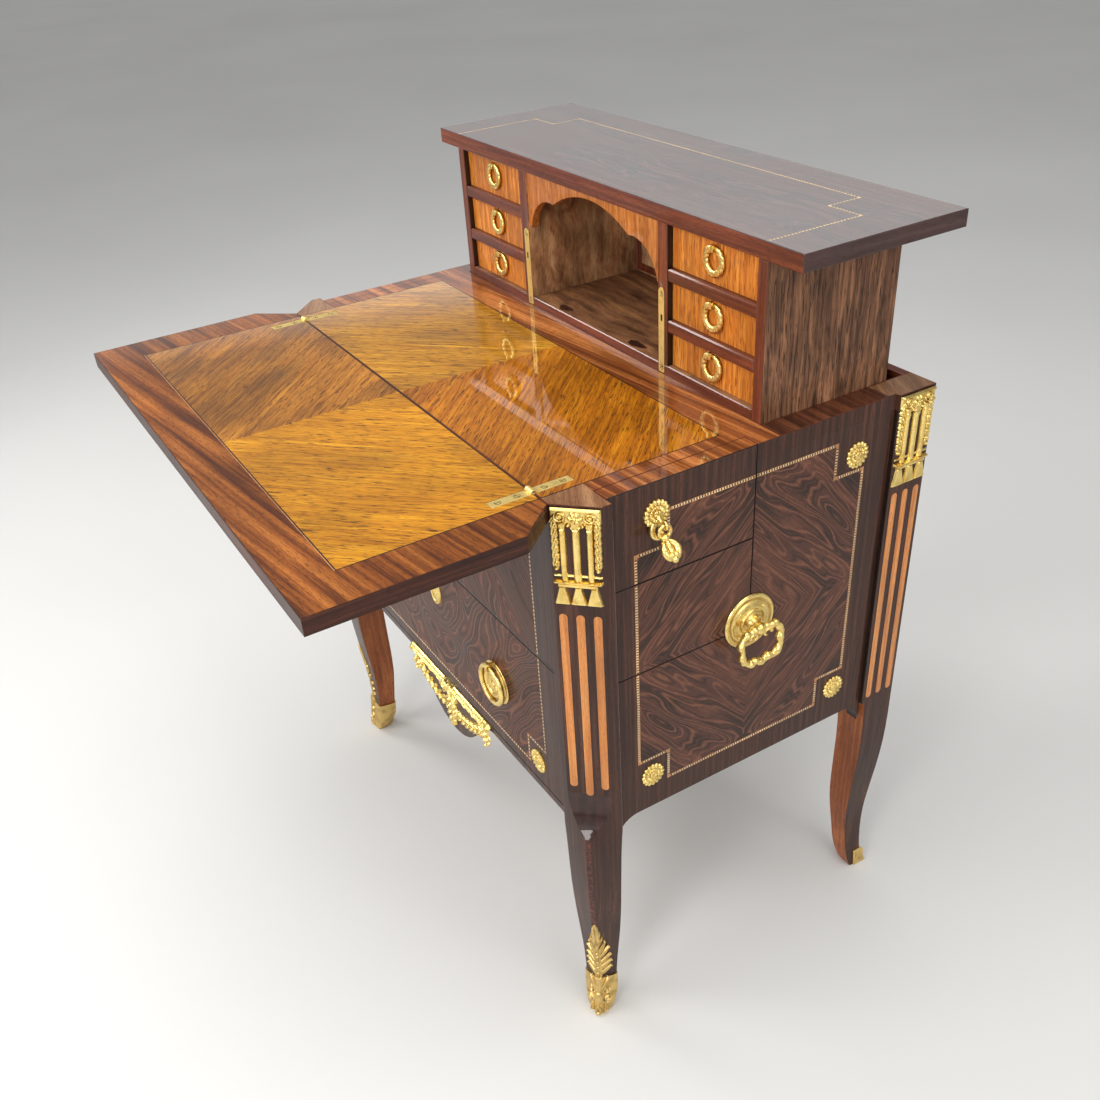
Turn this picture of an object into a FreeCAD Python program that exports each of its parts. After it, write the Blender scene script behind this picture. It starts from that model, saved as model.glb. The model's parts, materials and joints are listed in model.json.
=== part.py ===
import FreeCAD, Part
import math
import os
import Sketcher
from FreeCAD import Rotation, Vector

# Folding-top desk with a rising drawer box. Millimetres, +Z up, front towards -Y.
# The origin is on the floor under the middle of the plan with the leaf open.
# "Behind" means the distance from the hinge line towards the back.

SIZES = (
    ("top_height", 740.0, "writing surface above the floor"),
    ("board_thick", 18.0, "leaf, fixed top and box top"),
    ("body_height", 422.0, "side panels' lower edge, where the legs begin, below the writing surface"),
    ("leaf_gap", 0.5, "folded leaf before the well's front edge"),
    ("leaf_overhang", 2.0, "leaf past the front posts"),
    ("leaf_corner", 44.0, "length along Y of the leaf's cut corners"),
    ("carcass_depth", 470.0, "hinge line to the back"),
    ("post_half", 358.0, "outer face of the front posts"),
    ("post_size", 48.0, "square section of a front post and of a leg's top"),
    ("cant", 36.0, "legs of the canted corner"),
    ("tongue_height", 52.0, "height over which the cant runs out"),
    ("tongue_lift", 4.0, "end of the cant above the side panels' lower edge"),
    ("tongue_radius", 66.0, "sweep of the run-out"),
    ("rear_step", 5.0, "rear posts inside the front posts' outer faces"),
    ("post_clear", 2.0, "rear posts outside the well"),
    ("rear_post_depth", 52.0, "rear post along Y"),
    ("knee_share", 0.7862, "height of the leg section at the knee, of the leg's length"),
    ("knee_inset", 0.5, "outer faces inside the corner lines at the knee"),
    ("knee_width", 44.0, "square section at the knee"),
    ("calf_share", 0.5346, "height of the leg section at the calf, of the leg's length"),
    ("calf_inset", 5.5, "outer faces inside the corner lines at the calf"),
    ("calf_width", 39.5, "square section at the calf"),
    ("shin_share", 0.3459, "height of the leg section at the shin, of the leg's length"),
    ("shin_inset", 10.5, "outer faces inside the corner lines at the shin"),
    ("shin_width", 33.0, "square section at the shin"),
    ("ankle_share", 0.1887, "height of the leg section at the ankle, of the leg's length"),
    ("ankle_inset", 11.0, "outer faces inside the corner lines at the ankle"),
    ("ankle_width", 28.0, "square section at the ankle"),
    ("heel_share", 0.0943, "height of the leg section at the heel, of the leg's length"),
    ("heel_inset", 9.5, "outer faces inside the corner lines at the heel"),
    ("heel_width", 26.0, "square section at the heel"),
    ("toe_inset", 6.5, "outer faces inside the corner lines on the floor"),
    ("toe_width", 20.0, "square section on the floor"),
    ("sabot_height", 52.0, "top of the front legs' gilt shoes"),
    ("rear_sabot_height", 26.0, "top of the rear legs' gilt shoes"),
    ("rear_sabot_reach", 22.0, "rear shoes inwards from the corner lines"),
    ("sabot_thick", 2.5, "wall of the gilt shoes"),
    ("panel_step", 11.0, "side panels inside the front posts' outer faces"),
    ("panel_thick", 18.0, "side panels"),
    ("bracket", 29.0, "radius of the curved brackets beside the legs"),
    ("front_setback", 10.0, "front panels behind the hinge line"),
    ("front_thick", 20.0, "front panel and carcass drawer fronts"),
    ("back_thick", 12.0, "back panel"),
    ("apron_depth", 10.0, "apron and bottom board, below the bottom drawer"),
    ("apron_lift", 4.0, "top of the apron above the side panels' lower edge"),
    ("apron_bracket", 24.0, "radius of the apron's end brackets"),
    ("drop_half", 128.0, "half width of the apron's middle drop"),
    ("drop_shoulder", 64.0, "half width of the drop at its shoulder"),
    ("shoulder_below", 46.0, "shoulder of the drop below the apron's edge"),
    ("drop_below", 76.0, "lowest point of the drop below the apron's edge"),
    ("drop_scoop_radius", 62.0, "hollow curve of the drop"),
    ("drop_swell_radius", 90.0, "full curve of the drop"),
    ("divider_gap", 22.0, "board over the bottom drawer below the well's floor board"),
    ("upper_drawer", 108.5, "height of the upper side drawers with their seam"),
    ("catch_room", 17.5, "room for the catch between side drawers and well"),
    ("drawer_meeting", 30.0, "side drawer boxes from the middle plane"),
    ("side_drawer_inset", 12.0, "side drawer box inside the front's ends"),
    ("upper_headroom", 23.7, "upper side drawer boxes below the top"),
    ("lower_headroom", 13.7, "lower side drawer boxes below their shelf"),
    ("drawer_wall", 8.0, "walls and floors of the carcass drawers"),
    ("dust_thick", 8.0, "shelf between the side drawers"),
    ("dust_lift", 4.5, "top of that shelf above the seam"),
    ("divider_thick", 10.0, "board over the bottom drawer"),
    ("bottom_box_inset", 20.0, "bottom drawer box inside the front posts"),
    ("bottom_headroom", 25.7, "bottom drawer box below the drawer front's top"),
    ("bottom_box_room", 2.0, "bottom drawer box before the lift gear"),
    ("guide_width", 10.0, "strips beside the bottom drawer"),
    ("guide_height", 30.0, "height of those strips"),
    ("well_front", 259.0, "front edge of the well behind the hinge line"),
    ("well_inset", 43.0, "well inside the front posts' outer faces"),
    ("well_wall", 12.0, "front wall and floor of the well"),
    ("well_depth_room", 16.3, "lowered box above the well floor"),
    ("gear_clear", 2.0, "boards end this much before the lift gear"),
    ("box_gap", 0.5, "rising box behind the well's front edge"),
    ("box_side_gap", 1.0, "rising box inside the well's sides"),
    ("box_back_gap", 22.0, "rising box before the back panel"),
    ("box_rise", 167.0, "underside of the box top above the writing surface"),
    ("box_sink", 5.0, "raised box below the writing surface"),
    ("box_floor", 11.0, "floor of the box above the writing surface"),
    ("box_side", 14.0, "side boards of the box"),
    ("box_back", 12.0, "back board of the box"),
    ("box_top_overhang", 4.0, "box top past the front posts"),
    ("pigeonhole_half", 138.0, "half width of the pigeonhole"),
    ("partition_thick", 17.0, "partitions beside the pigeonhole"),
    ("well_side_gap", 2.0, "side walls of the well inside the side panels"),
    ("shelf_thick", 14.0, "shelves between the small drawers"),
    ("row_grade", 3.5, "each row of small drawers taller than the one below"),
    ("small_recess", 7.0, "small drawer fronts behind the box front"),
    ("small_front", 12.0, "thickness of the small drawer fronts"),
    ("small_wall", 6.0, "walls of the small drawers"),
    ("small_bottom", 5.0, "floors of the small drawers"),
    ("small_room", 7.5, "small drawer boxes before the box's back board"),
    ("small_headroom", 4.0, "small drawer walls below the front's top"),
    ("fascia_setback", 2.0, "arched fascia behind the box front"),
    ("fascia_thick", 10.0, "arched fascia"),
    ("arch_below", 66.0, "springing of the arch below the box top"),
    ("arch_inset", 5.0, "arch at its foot inside the pigeonhole"),
    ("cusp_inset", 59.0, "cusps of the arch inside the pigeonhole"),
    ("cusp_below", 28.0, "cusps of the arch below the box top"),
    ("lobe_radius", 46.0, "outer lobes of the arch"),
    ("arch_rise", 22.0, "middle curve of the arch above its cusps"),
    ("strike_width", 9.0, "brass strike plates"),
    ("strike_low", 1.0, "foot of the strike plates above the writing surface"),
    ("strike_high", 98.0, "head of the strike plates above the writing surface"),
    ("strike_thick", 2.0, "thickness of the strike plates"),
    ("slot_height", 64.0, "middle of the bolt slot above the writing surface"),
    ("bolt_size", 6.0, "square bolts of the catch"),
    ("bolt_slack", 0.4, "room round a bolt"),
    ("bolt_pocket", 6.0, "depth of the bolt slot"),
    ("bar_end", 9.0, "catch bar past its bolts"),
    ("bar_height", 10.0, "catch bar along Z"),
    ("bar_thick", 5.0, "catch bar along Y"),
    ("catch_travel", 4.5, "travel of the catch bar"),
    ("keeper_place", 80.0, "catch keepers from the middle"),
    ("keeper_width", 16.0, "catch keepers along X"),
    ("keeper_wall", 4.5, "walls of the catch keepers"),
    ("rod_inset", 60.0, "guide rods inside the box's side boards"),
    ("rod_radius", 4.0, "guide rods"),
    ("rod_before_back", 11.0, "guide rods before the back panel"),
    ("rod_fit", 0.05, "radial play of the bushes"),
    ("bracket_half", 8.0, "half width of the rod brackets"),
    ("foot_bracket", 10.0, "height of the lower rod brackets"),
    ("head_bracket", 6.0, "height of the upper rod brackets"),
    ("head_drop", 3.0, "upper rod brackets below the writing surface"),
    ("bush_radius", 8.0, "bushes of the lift brackets"),
    ("bush_length", 40.0, "bushes of the lift brackets"),
    ("bush_stop", 1.0, "bush below the upper rod bracket when the box is up"),
    ("lift_plate_half", 14.0, "half width of the lift brackets"),
    ("lift_plate_thick", 3.0, "plate of the lift brackets"),
    ("lift_plate_height", 100.0, "height of the lift brackets"),
    ("spring_radius", 7.0, "outside of the lift springs"),
    ("spring_bore", 4.6, "inside of the lift springs"),
    ("strap_inset", 31.0, "hinges inside the cut corners"),
    ("strap_half_length", 45.0, "hinge strap from the hinge line"),
    ("strap_width", 12.0, "hinge straps"),
    ("strap_thick", 3.0, "hinge straps"),
    ("knuckle_radius", 3.5, "hinge knuckles"),
    ("knuckle_middle", 4.4, "middle knuckle along X"),
    ("knuckle_room", 0.6, "room cut round the knuckles"),
    ("pin_radius", 1.5, "hinge pins"),
    ("pin_fit", 0.05, "radial play of the hinge pins"),
    ("hinge_lift", 0.3, "hinge axis above the writing surface"),
    ("hinge_gap", 0.2, "leaf and top from the hinge line"),
    ("fit_gap", 0.3, "sliding and turning clearance"),
    ("seam_gap", 0.5, "seams round drawer fronts"),
    ("ring_slack", 0.5, "room round a ring's wire in its eye"),
    ("ring_margin", 4.3, "small ring pulls inside the height of their drawers"),
    ("ring_wire", 2.2, "small ring pulls, radius of the wire"),
    ("ring_setback", 4.2, "small rings behind the box front"),
    ("eye_width", 4.0, "eyes of the small rings along X"),
    ("eye_wall", 1.1, "eyes of the small rings"),
    ("large_ring_radius", 25.0, "bottom drawer rings, middle of the wire"),
    ("large_ring_wire", 3.5, "bottom drawer rings, radius of the wire"),
    ("large_ring_place", 150.0, "bottom drawer rings from the middle"),
    ("large_ring_below", 6.0, "bottom drawer rings below the middle of the drawer"),
    ("large_eye_width", 6.0, "eyes of the bottom drawer rings"),
    ("large_eye_wall", 1.5, "eyes of the bottom drawer rings"),
    ("ring_plate_radius", 21.0, "plates behind the bottom drawer rings"),
    ("ring_plate_thick", 4.0, "plates behind the bottom drawer rings"),
    ("escutcheon_width", 26.0, "keyhole plate"),
    ("escutcheon_tall", 54.0, "keyhole plate"),
    ("escutcheon_below", 18.0, "keyhole plate below the drawer front's top"),
    ("escutcheon_thick", 3.0, "keyhole plate"),
    ("rosette_radius", 15.5, "gilt rosettes"),
    ("rosette_thick", 4.0, "gilt rosettes"),
    ("rosette_inset", 49.5, "side rosettes from the panel's ends"),
    ("rosette_lift", 49.0, "lower side rosettes above the panels' lower edge"),
    ("rosette_below", 56.0, "upper rosettes below the writing surface"),
    ("front_rosette_inset", 69.0, "front rosettes inside the front posts"),
    ("front_rosette_lift", 33.0, "lower front rosettes above the apron"),
    ("drop_pull_behind", 105.0, "drop pulls behind the hinge line"),
    ("drop_pull_below", 35.0, "middle of the drop pulls' rosettes below the writing surface"),
    ("drop_axis_below", 7.0, "pivot of the drops below the rosette's middle"),
    ("drop_axis_out", 14.0, "pivot of the drops before the panel"),
    ("drop_wire", 2.0, "loop of the drops, radius of the wire"),
    ("drop_loop", 7.0, "loop of the drops, middle of the wire"),
    ("drop_eye_width", 3.0, "eyes of the drops along Y"),
    ("drop_eye_wall", 1.5, "eyes of the drops"),
    ("drop_length", 30.0, "drops below their loop"),
    ("drop_bulb", 6.5, "thick end of the drops"),
    ("dish_radius", 34.0, "round plates of the bail pulls"),
    ("dish_thick", 6.0, "round plates of the bail pulls"),
    ("dish_lift", 8.0, "middle of the round plates above the bottom seam"),
    ("boss_radius", 7.0, "bosses of the bail pulls"),
    ("boss_length", 28.0, "bosses of the bail pulls, from the panel"),
    ("bail_axis_out", 20.0, "pivot of the bails before the panel"),
    ("bail_wire", 3.0, "bails, radius of the wire"),
    ("bail_half", 26.0, "half width of the bails"),
    ("bail_height", 42.0, "height of the bails"),
    ("mount_tall", 108.0, "height of the post mounts"),
    ("mount_below", 5.0, "post mounts below the writing surface"),
    ("mount_width", 49.0, "post mounts"),
    ("mount_thick", 5.0, "post mounts"),
    ("frieze_height", 32.0, "frieze of the post mounts"),
    ("mount_bar", 7.0, "bars of the post mounts"),
    ("mount_bar_pitch", 15.0, "bars of the post mounts"),
    ("mount_foot", 18.0, "drops under the mounts' crossbar"),
    ("mount_crossbar", 8.0, "crossbar of the post mounts"),
    ("mount_drop_width", 12.0, "drops under the mounts' crossbar"),
    ("apron_mount_half", 113.0, "half width of the apron mount"),
    ("apron_mount_below", 3.0, "apron mount below the apron's top"),
    ("apron_mount_bar", 16.0, "bars of the apron mount"),
    ("apron_mount_waist", 34.0, "half width of the apron mount at its swag"),
    ("apron_mount_swag", 60.0, "swag of the apron mount below the apron's top"),
    ("apron_mount_tip", 82.0, "lowest point of the apron mount below the apron's top"),
    ("apron_mount_thick", 8.0, "apron mount"),
)

LEG_LEVELS = ("knee", "calf", "shin", "ankle", "heel")
HALF_DIAGONAL = math.sqrt(0.5)
AXES = {"x": Rotation(Vector(0, 1, 0), 90), "y": Rotation(Vector(1, 0, 0), -90), "z": Rotation()}
PLANES = {"XY": "XY_Plane", "XZ": "XZ_Plane", "YZ": "YZ_Plane"}


class Size:
    """A number together with the sheet expression that gives it."""

    def __init__(self, value, text):
        self.value = value
        self.text = text

    def __add__(self, other):
        return combine(self, "+", other, lambda a, b: a + b)

    def __radd__(self, other):
        return combine(other, "+", self, lambda a, b: a + b)

    def __sub__(self, other):
        return combine(self, "-", other, lambda a, b: a - b)

    def __rsub__(self, other):
        return combine(other, "-", self, lambda a, b: a - b)

    def __mul__(self, other):
        return combine(self, "*", other, lambda a, b: a * b)

    def __truediv__(self, other):
        return combine(self, "/", other, lambda a, b: a / b)

    def __neg__(self):
        return Size(-self.value, "(0 - %s)" % self.text)


class Sheet:
    """The spreadsheet's cells as Size attributes."""


def as_size(item):
    return item if isinstance(item, Size) else Size(float(item), repr(float(item)))


def combine(first, sign, second, work):
    first, second = as_size(first), as_size(second)
    return Size(work(first.value, second.value), "(%s %s %s)" % (first.text, sign, second.text))


doc = FreeCAD.newDocument("FoldingDesk")
cells = doc.addObject("Spreadsheet::Sheet", "Sizes")
s = Sheet()
for row, (alias, number, meaning) in enumerate(SIZES, start=1):
    cells.set("A%d" % row, alias)
    cells.set("B%d" % row, repr(number))
    cells.set("C%d" % row, meaning)
    cells.setAlias("B%d" % row, alias)
    setattr(s, alias, Size(number, "Sizes." + alias))
doc.recompute()

nodes = {}


def bind(item, name, size):
    item.setExpression(name, as_size(size).text)


def place(item, x, y, z):
    for axis, size in zip("xyz", (x, y, z)):
        bind(item, "Placement.Base." + axis, size)


def about(middle, width):
    """The two ends of a width centred on a place."""
    return (middle - as_size(width) / 2, middle + as_size(width) / 2)


def both(half):
    """The two ends of a width centred on the middle plane."""
    return (-as_size(half), as_size(half))


def block(name, x, y, z):
    item = doc.addObject("Part::Box", name)
    for side, (low, high) in zip(("Length", "Width", "Height"), (x, y, z)):
        bind(item, side, as_size(high) - low)
    place(item, x[0], y[0], z[0])
    return item


def rod(name, start, axis, radius, length):
    item = doc.addObject("Part::Cylinder", name)
    item.Placement.Rotation = AXES[axis]
    bind(item, "Radius", radius)
    bind(item, "Height", length)
    place(item, *start)
    return item


def ball(name, centre, radius):
    item = doc.addObject("Part::Sphere", name)
    bind(item, "Radius", radius)
    place(item, *centre)
    return item


def hoop(name, centre, axis, radius, wire):
    item = doc.addObject("Part::Torus", name)
    item.Placement.Rotation = AXES[axis]
    bind(item, "Radius1", radius)
    bind(item, "Radius2", wire)
    place(item, *centre)
    return item


def cut(name, base, *tools):
    item = doc.addObject("Part::Cut", name)
    item.Base = base
    item.Tool = tools[0] if len(tools) == 1 else join(name + "_tools", *tools)
    return item


def join(name, *pieces):
    item = doc.addObject("Part::MultiFuse", name)
    item.Shapes = list(pieces)
    return item


def overlap(name, first, second):
    item = doc.addObject("Part::Common", name)
    item.Base = first
    item.Tool = second
    return item


def group(name, *pieces):
    item = doc.addObject("Part::Compound", name)
    item.Links = list(pieces)
    return item


def twin(name, piece):
    """The piece mirrored to the other side of the middle plane."""
    item = doc.addObject("Part::Mirroring", name)
    item.Source = piece
    item.Normal = Vector(1, 0, 0)
    return item


def pair(name, piece):
    return group(name, piece, twin(name + "_twin", piece))


def node(label, item):
    item.Label = label
    nodes[label] = item
    return item


def add_arc(sketch, start, end, radius):
    """An arc between two points: positive radius turns left, negative turns right."""
    chord = end - start
    rise = math.sqrt(radius * radius - chord.Length ** 2 / 4)
    left = Vector(-chord.y, chord.x, 0).normalize()
    centre = (start + end) / 2 + left * math.copysign(rise, radius)
    first, last = (start, end) if radius > 0 else (end, start)
    angles = [math.atan2(p.y - centre.y, p.x - centre.x) for p in (first, last)]
    circle = Part.Circle(centre, Vector(0, 0, 1), abs(radius))
    return sketch.addGeometry(Part.ArcOfCircle(circle, *angles))


def outline_sketch(body, plane, outline, offset):
    """A closed outline. A point is (u, v), or (u, v, radius) where an arc leaves it."""
    sketch = body.newObject("Sketcher::SketchObject", body.Name + "_outline")
    support = [f for f in body.Origin.OriginFeatures if f.Role == PLANES[plane]][0]
    sketch.AttachmentSupport = [(support, "")]
    sketch.MapMode = "FlatFace"
    bind(sketch, "AttachmentOffset.Base.z", offset)
    points = [(as_size(p[0]), as_size(p[1])) for p in outline]
    spots = [Vector(u.value, v.value, 0) for u, v in points]
    ends = []
    for number, point in enumerate(outline):
        start, end = spots[number], spots[(number + 1) % len(spots)]
        if len(point) == 2:
            sketch.addGeometry(Part.LineSegment(start, end))
            ends.append((1, 2))
            continue
        add_arc(sketch, start, end, point[2].value)
        ends.append((1, 2) if point[2].value > 0 else (2, 1))
    for number in range(len(outline)):
        after = (number + 1) % len(outline)
        sketch.addConstraint(
            Sketcher.Constraint("Coincident", number, ends[number][1], after, ends[after][0]))
    for number, (point, sizes) in enumerate(zip(outline, points)):
        for kind, size in zip(("DistanceX", "DistanceY"), sizes):
            rule = Sketcher.Constraint(kind, -1, 1, number, ends[number][0], size.value)
            bind(sketch, "Constraints[%d]" % sketch.addConstraint(rule), size)
        if len(point) == 3:
            bend = point[2] if point[2].value > 0 else -point[2]
            rule = Sketcher.Constraint("Radius", number, bend.value)
            bind(sketch, "Constraints[%d]" % sketch.addConstraint(rule), bend)
    return sketch


def pad(body, plane, outline, reach):
    """The outline thickened between two places along the plane's remaining axis."""
    low, high = as_size(reach[0]), as_size(reach[1])
    offset = -high if plane == "XZ" else low
    feature = body.newObject("PartDesign::Pad", body.Name + "_pad")
    feature.Profile = outline_sketch(body, plane, outline, offset)
    bind(feature, "Length", high - low)
    return feature


def prism(name, plane, outline, reach):
    body = doc.addObject("PartDesign::Body", name)
    pad(body, plane, outline, reach)
    return body


def mirrored(points):
    """An outline's right half, front to back, with its left half added."""
    return list(points) + [(-as_size(p[0]), p[1]) for p in reversed(points)]


def square(x, y):
    return ((x[0], y[0]), (x[1], y[0]), (x[1], y[1]), (x[0], y[1]))


leaf_reach = s.well_front - s.leaf_gap
hinge_y = (leaf_reach - s.carcass_depth) / 2


def behind(distance):
    return hinge_y + distance


# Half widths, all from the front posts' outer faces
rear_half = s.post_half - s.rear_step
side_half = s.post_half - s.panel_step
leaf_half = s.post_half + s.leaf_overhang
box_top_half = s.post_half + s.box_top_overhang
well_half = s.post_half - s.well_inset
post_inner = s.post_half - s.post_size
rear_post_inner = well_half + s.post_clear
panel_inner = side_half - s.panel_thick
strip_inner = side_half - s.front_thick
well_outer = panel_inner - s.well_side_gap
box_half = well_half - s.box_side_gap
box_inner = box_half - s.box_side
partition_outer = s.pigeonhole_half + s.partition_thick
strike_middle = s.pigeonhole_half + s.seam_gap + s.strike_width / 2
rod_place = box_inner - s.rod_inset
strap_place = s.post_half - s.cant - s.strap_inset
bottom_box_half = post_inner - s.bottom_box_inset
front_rosette_place = post_inner - s.front_rosette_inset

# Planes from front to back
front_plane = behind(s.front_setback)
front_back = front_plane + s.front_thick
post_rear = behind(s.post_size)
well_edge = behind(s.well_front)
well_face = well_edge - s.box_gap
well_wall_front = well_face - s.well_wall
drawer_end = well_wall_front - s.catch_room
box_front = well_edge + s.box_gap
rear_plane = behind(s.carcass_depth)
rear_post_front = rear_plane - s.rear_post_depth
back_plane = rear_plane - s.back_thick
box_rear = back_plane - s.box_back_gap
gear_front = box_rear - s.gear_clear
box_back_face = box_rear - s.box_back
rod_y = back_plane - s.rod_before_back

# Levels
carcass_foot = s.top_height - s.body_height
top_under = s.top_height - s.board_thick
apron_top = carcass_foot + s.apron_lift
apron_edge = apron_top - s.apron_depth
tongue_end = carcass_foot + s.tongue_lift
tongue_start = tongue_end + s.tongue_height
box_bottom = s.top_height - s.box_sink
box_floor = s.top_height + s.box_floor
box_under_top = s.top_height + s.box_rise
lift_travel = s.box_rise - s.fit_gap
well_floor = box_bottom - lift_travel - s.well_depth_room
bottom_seam = well_floor - s.well_wall - s.divider_gap
middle_seam = s.top_height - s.upper_drawer
shelf_top = middle_seam + s.dust_lift
row_height = (box_under_top - box_floor - s.shelf_thick * 2) / 3
low_shelf = box_floor + row_height - s.row_grade
high_shelf = box_under_top - row_height - s.row_grade - s.shelf_thick
ring_radius = row_height / 2 - s.ring_wire - s.ring_margin
bush_top = s.top_height - s.head_drop - s.head_bracket - s.bush_stop
bush_low = bush_top - s.bush_length
hinge_z = s.top_height + s.hinge_lift
slot_z = s.top_height + s.slot_height
bolt_z = slot_z - lift_travel
large_ring_z = (apron_top + bottom_seam) / 2 - s.large_ring_below
rosette_low = carcass_foot + s.rosette_lift
rosette_high = s.top_height - s.rosette_below


def leg_sections(corner_x, corner_y, towards_back, swell):
    """Square sections of a leg, from its top to the floor, swollen on every side."""
    levels = [(carcass_foot, as_size(0), s.post_size)]
    for level in LEG_LEVELS:
        share, inset, width = (getattr(s, level + part) for part in ("_share", "_inset", "_width"))
        levels.append((carcass_foot * share, inset, width))
    levels.append((as_size(0), s.toe_inset, s.toe_width))
    sections = []
    for height, inset, width in levels:
        x = (corner_x - inset - width - swell, corner_x - inset + swell)
        y = (corner_y + inset - swell, corner_y + inset + width + swell)
        if towards_back:
            y = (corner_y - inset - width - swell, corner_y - inset + swell)
        sections.append((height, square(x, y)))
    return sections


def leg(name, corner_x, corner_y, towards_back, swell=0.0):
    """A cabriole leg, lofted through its sections, as the first feature of a body."""
    body = doc.addObject("PartDesign::Body", name)
    sketches = [outline_sketch(body, "XY", outline, height)
                for height, outline in leg_sections(corner_x, corner_y, towards_back, swell)]
    loft = body.newObject("PartDesign::AdditiveLoft", name + "_loft")
    loft.Profile = sketches[0]
    loft.Sections = sketches[1:]
    return body


def sabot(name, corner_x, corner_y, towards_back, wood, reach, height):
    """A cast shoe over the leg's outer corner, as far inwards and as high as it is told."""
    cast = leg(name + "_cast", corner_x, corner_y, towards_back, s.sabot_thick)
    outwards = s.post_size
    y = (corner_y - reach, corner_y + outwards) if towards_back else (corner_y - outwards, corner_y + reach)
    room = block(name + "_room", (corner_x - reach, corner_x + outwards), y, (0, height))
    return cut(name, overlap(name + "_low", cast, room), wood)


def posts():
    front = leg("front_leg", s.post_half, hinge_y, False)
    pad(front, "XY", square((post_inner, s.post_half), (hinge_y, post_rear)), (carcass_foot, top_under))
    depth = s.cant * HALF_DIAGONAL
    cant_tool = prism("front_cant", "XZ", (
        (as_size(0), tongue_end), (s.post_size, tongue_end), (s.post_size, s.top_height),
        (-depth, s.top_height), (-depth, tongue_start, s.tongue_radius)),
        both(s.post_size))
    cant_tool.Placement.Rotation = Rotation(Vector(0, 0, 1), -45)
    place(cant_tool, s.post_half, hinge_y, 0)
    front_post = cut("front_post", front, cant_tool)
    rear = leg("rear_leg", rear_half, rear_plane, True)
    pad(rear, "XY", square((rear_post_inner, rear_half), (rear_post_front, rear_plane)),
        (carcass_foot, top_under))
    node("front_posts", pair("front_post_pair", front_post))
    node("rear_posts", pair("rear_post_pair", rear))
    shoes = [sabot("front_sabot", s.post_half, hinge_y, False, front_post, s.post_size * 2, s.sabot_height),
             sabot("rear_sabot", rear_half, rear_plane, True, rear, s.rear_sabot_reach, s.rear_sabot_height)]
    twins = [twin(shoe.Name + "_twin", shoe) for shoe in shoes]
    node("leg_sabots", group("sabot_set", *shoes, *twins))


def hinge_rod(name, middle, length, radius):
    return rod(name, (strap_place + middle - as_size(length) / 2, hinge_y, hinge_z), "x", radius, length)


def strap_pocket(name, y):
    """Room in a board for a strap and its knuckles."""
    flat = block(name + "_flat", about(strap_place, s.strap_width), y,
                 (s.top_height - s.strap_thick, s.top_height + s.strap_thick))
    barrel = hinge_rod(name + "_barrel", 0, s.strap_width + s.knuckle_room * 2,
                       s.knuckle_radius + s.knuckle_room)
    return pair(name, join(name + "_room", flat, barrel))


def hinges():
    outer = (s.strap_width - s.knuckle_middle) / 2 - s.fit_gap
    outer_middle = s.knuckle_middle / 2 + s.fit_gap + outer / 2
    flat_z = (s.top_height - s.strap_thick, s.top_height)
    strap_x = about(strap_place, s.strap_width)
    fixed_flat = block("fixed_flat", strap_x, (behind(s.hinge_gap), behind(s.strap_half_length)), flat_z)
    leaf_flat = block("leaf_flat", strap_x, (behind(-s.strap_half_length), behind(-s.hinge_gap)), flat_z)
    outers = [hinge_rod("outer_knuckle", side * outer_middle, outer, s.knuckle_radius)
              for side in (as_size(-1), as_size(1))]
    rooms = [hinge_rod("outer_room", side * outer_middle, outer + s.fit_gap * 2,
                       s.knuckle_radius + s.fit_gap) for side in (as_size(-1), as_size(1))]
    middle = hinge_rod("middle_knuckle", 0, s.knuckle_middle, s.knuckle_radius)
    middle_room = hinge_rod("middle_room", 0, s.knuckle_middle + s.fit_gap * 2, s.knuckle_radius + s.fit_gap)
    pin = hinge_rod("hinge_pin", 0, s.strap_width, s.pin_radius)
    bore = hinge_rod("hinge_bore", 0, s.strap_width * 2, s.pin_radius + s.pin_fit)
    fixed = cut("fixed_strap", join("fixed_strap_body", cut("fixed_flat_open", fixed_flat, middle_room),
                                    *outers), pin)
    moving_body = join("leaf_strap_body", cut("leaf_flat_open", leaf_flat, *rooms), middle)
    moving = cut("leaf_strap", moving_body, bore)
    node("top_hinge_straps", group("fixed_strap_set", fixed, pin, twin("fixed_strap_twin", fixed),
                                   twin("hinge_pin_twin", pin)))
    node("leaf_hinge_straps", pair("leaf_strap_pair", moving))


def boards():
    strip_edge = strip_inner - s.seam_gap
    notch_end = drawer_end + s.seam_gap
    front_edge = behind(s.hinge_gap)
    top_outline = mirrored((
        (s.post_half - s.cant, front_edge), (s.post_half, behind(s.cant)), (s.post_half, post_rear),
        (strip_edge, post_rear), (strip_edge, notch_end), (side_half, notch_end),
        (side_half, rear_post_front), (rear_half, rear_post_front), (rear_half, rear_plane)))
    top = prism("top_board", "XY", top_outline, (top_under, s.top_height))
    pocket = strap_pocket("top_pocket", (behind(0), behind(s.strap_half_length)))
    opening = block("well_opening", both(well_half), (well_edge, back_plane),
                    (top_under - s.board_thick, s.top_height + s.board_thick))
    node("writing_top", cut("top_board_cut", top, opening, pocket))
    leaf_edge = behind(-s.hinge_gap)
    leaf_outline = mirrored((
        (leaf_half, behind(-leaf_reach)), (leaf_half, leaf_edge - s.leaf_corner),
        (s.post_half - s.cant, leaf_edge)))
    leaf = prism("leaf_board", "XY", leaf_outline, (top_under, s.top_height))
    pocket = strap_pocket("leaf_pocket", (behind(-s.strap_half_length), behind(0)))
    node("writing_leaf", cut("leaf_board_cut", leaf, pocket))


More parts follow.
